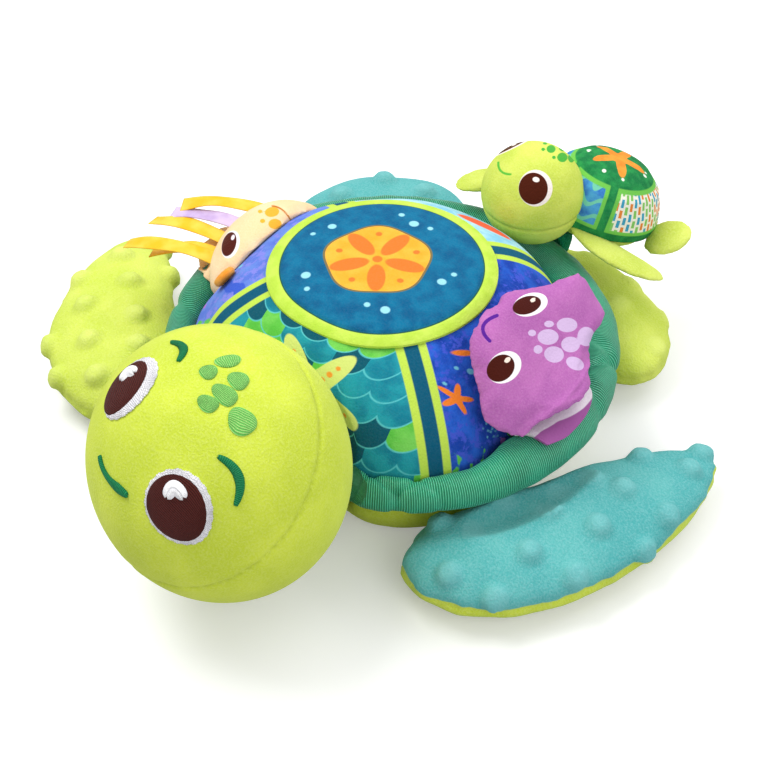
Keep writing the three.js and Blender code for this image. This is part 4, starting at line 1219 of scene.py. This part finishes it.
def baby_shell_print():
    """Print of the baby's shell: green with a star on top, bordered panels with waves and with dashes."""
    s = Shader("baby_shell_print")
    mottle = s.patches(5, 0.35, 0.65, 3.0)
    bend = s.calc("MULTIPLY", s.calc("SINE", s.calc("MULTIPLY", s.attribute("dash_across"), 0.55)), 1.6)
    wave = s.calc("SINE", s.calc("MULTIPLY_ADD", s.attribute("dash_down"), 0.9, bend))
    waves = s.mix(s.ramp(wave, 0.5, 0.75), s.mix(mottle, (48, 112, 190), (74, 160, 206)), (112, 200, 170))
    across = s.calc("DIVIDE", s.attribute("dash_across"), 2.5)
    column = s.calc("FLOOR", across)
    down = s.calc("ADD", s.calc("DIVIDE", s.attribute("dash_down"), 4.4), s.calc("MULTIPLY", column, 0.37))
    row = s.calc("FLOOR", down)
    cell = s.add("CombineXYZ", {0: column, 1: row}).outputs[0]
    value = s.add("TexWhiteNoise", {"Vector": cell}).outputs["Value"]
    cool = s.mix(s.calc("GREATER_THAN", value, 0.33), (60, 158, 190), (130, 196, 96))
    tint = s.mix(s.calc("GREATER_THAN", value, 0.62), cool, (226, 132, 52))

    def near_middle(place, whole, half):
        off = s.calc("SUBTRACT", s.calc("SUBTRACT", place, whole), 0.5)
        return s.calc("LESS_THAN", s.calc("ABSOLUTE", off), half)

    dash = s.calc("MULTIPLY", near_middle(across, column, 0.3), near_middle(down, row, 0.38))
    panels = s.mix(s.inside("side_panel"), s.mix(dash, (240, 238, 222), tint), waves)
    ground = s.mix(mottle, (14, 118, 62), (36, 146, 74))
    ground = s.layered(ground, (("panel", (112, 196, 78)), ("panel_inner", panels)), 0.25)
    ground = s.layered(ground, (("baby_bubble", (240, 248, 232)),), 0.2)
    ground = s.layered(ground, (("baby_star", s.mix(mottle, (244, 136, 44), (250, 158, 56))),), 0.25)
    return printed_pile(s, ground, 0.6, 0.02, 0.6, 0.2)


baby_shell = grid("baby_shell_dome", 200, 90, baby_shell_place, [baby_shell_print()], baby_marks)
move_points(baby_shell, clear_of_ball(points_of(baby_shell), baby_head_centre, 23.5))
finished(baby_shell, "baby_shell", "baby")

baby_plush = plush("baby_plush", (212, 224, 104), (190, 208, 78), (234, 244, 160))
baby_belly = stuffed("baby_belly_cushion", "baby_belly", 1.8, [baby_plush], swell=0.4, start_in=0.2)
finished(baby_belly, "baby_belly", "baby")
for side, end in (("left", "front"), ("right", "front"), ("left", "rear"), ("right", "rear")):
    name = f"baby_{end}_flipper_{side}"
    limb = stuffed(name + "_limb", name, 1.2, [baby_plush], swell=0.8, start_in=0.3, soften=1)
    shape, outer = points_of(limb), -1 if side == "right" else 1
    sewn_at = (outer * 14.0, 22.0, -4.0) if end == "rear" else (outer * 17.0, -10.0, -4.0)
    root = baby_origin + np.array(sewn_at) @ baby_axes
    way = shape.mean(axis=0) - root
    way /= np.linalg.norm(way)
    along = ((shape - root) @ way)[:, None]
    flat = shape - root - along * way
    if (end, side) == ("rear", "left"):
        thin = np.linalg.svd(flat, full_matrices=False)[2][1]
        goal = BACK - (BACK @ way) * way
        turn = (math.atan2(np.cross(thin, goal) @ way, thin @ goal) + math.pi / 2) % math.pi - math.pi / 2
        flat = flat @ np.array(Matrix.Rotation(0.8 * turn, 3, Vector(way))).T * 1.12
    if (end, side) == ("front", "left"):
        along = along.max() * 1.08 + (along - along.max()) * 1.3
    move_points(limb, root + along * way + flat)
    finished(limb, name, "baby")


# Patch and tab: the two halves of the baby's fastening, both of woven tape. The hook patch is sewn under
# its belly, and the padded loop tab is sewn on the mother's rim roll.
def hook_tape(name, colour, light):
    """Woven tape covered in tiny hooks or loops."""
    s = Shader(name)
    loops = s.add("TexVoronoi", {"Vector": s.place, "Scale": 1400.0}).outputs["Distance"]
    return s.finish(s.mix(s.ramp(loops, 0.2, 0.6), light, colour), loops, 0.4, 0.8, 0.1, light)


patch_tape = hook_tape("patch_tape", (20, 92, 66), (44, 130, 96))
patch = stuffed(
    "hook_patch_tape", "baby_hook_patch", 0.6, [patch_tape], swell=0, start_in=0.0, soften=1, finer=0)
finished(patch, "baby_hook_patch", "baby")
tab_tape = hook_tape("tab_tape", (14, 128, 92), (40, 160, 122))
dock = stuffed("loop_tab", "baby_dock", 1.2, [tab_tape], swell=0.3, start_in=0.3, soften=1)
resized(dock, [0.7, 0.7, 1.0])
finished(dock, "baby_dock", "mother")

# Floor and light: a plain pale floor and three broad soft lamps, like a catalogue photograph. The camera
# sees the floor and the world brighter than the toy is lit by them, so that the background is white.
scene.view_settings.view_transform = "Standard"
bm = bmesh.new()
bmesh.ops.create_grid(bm, x_segments=1, y_segments=1, size=3)
floor = shown("floor", from_bmesh("floor", bm))
paper = Shader("paper")
paper.surface.inputs["Base Color"].default_value = linear((238, 238, 240))
paper.surface.inputs["Roughness"].default_value = 0.9
seen = paper.add("LightPath").outputs["Is Camera Ray"]
glow = paper.add("Emission", {"Color": (1, 1, 1, 1), "Strength": 0.25})
both = paper.add("AddShader", {0: paper.surface.outputs[0], 1: glow.outputs[0]})
dim = paper.add("BsdfDiffuse", {"Color": linear((186, 186, 188))})
blend = paper.add("MixShader", {0: seen, 1: dim.outputs[0], 2: both.outputs[0]})
paper.tree.links.new(blend.outputs[0], paper.tree.nodes["Material Output"].inputs["Surface"])
floor.data.materials.append(paper.material)

world = bpy.data.worlds.new("studio")
scene.world = world
world.use_nodes = True
sky = world.node_tree.nodes["Background"]
seen = world.node_tree.nodes.new("ShaderNodeLightPath")
level = world.node_tree.nodes.new("ShaderNodeMapRange")
level.inputs["To Min"].default_value = 0.53
level.inputs["To Max"].default_value = 1.0
world.node_tree.links.new(seen.outputs["Is Camera Ray"], level.inputs["Value"])
world.node_tree.links.new(level.outputs[0], sky.inputs["Strength"])
sky.inputs["Color"].default_value = (1, 1, 1, 1)

for name, place, size, power in (
        ("key", (-0.75, -0.2, 1.35), 0.9, 16.0), ("fill", (1.2, -0.5, 0.9), 1.0, 7.0),
        ("back", (0.3, 1.2, 1.2), 1.5, 12.0)):
    lamp = bpy.data.objects.new(name, bpy.data.lights.new(name, "AREA"))
    lamp.data.size = size
    lamp.data.energy = power
    lamp.location = place
    lamp.rotation_euler = (Vector((0, 0, 0.04)) - Vector(place)).to_track_quat("-Z", "Y").to_euler()
    scene.collection.objects.link(lamp)
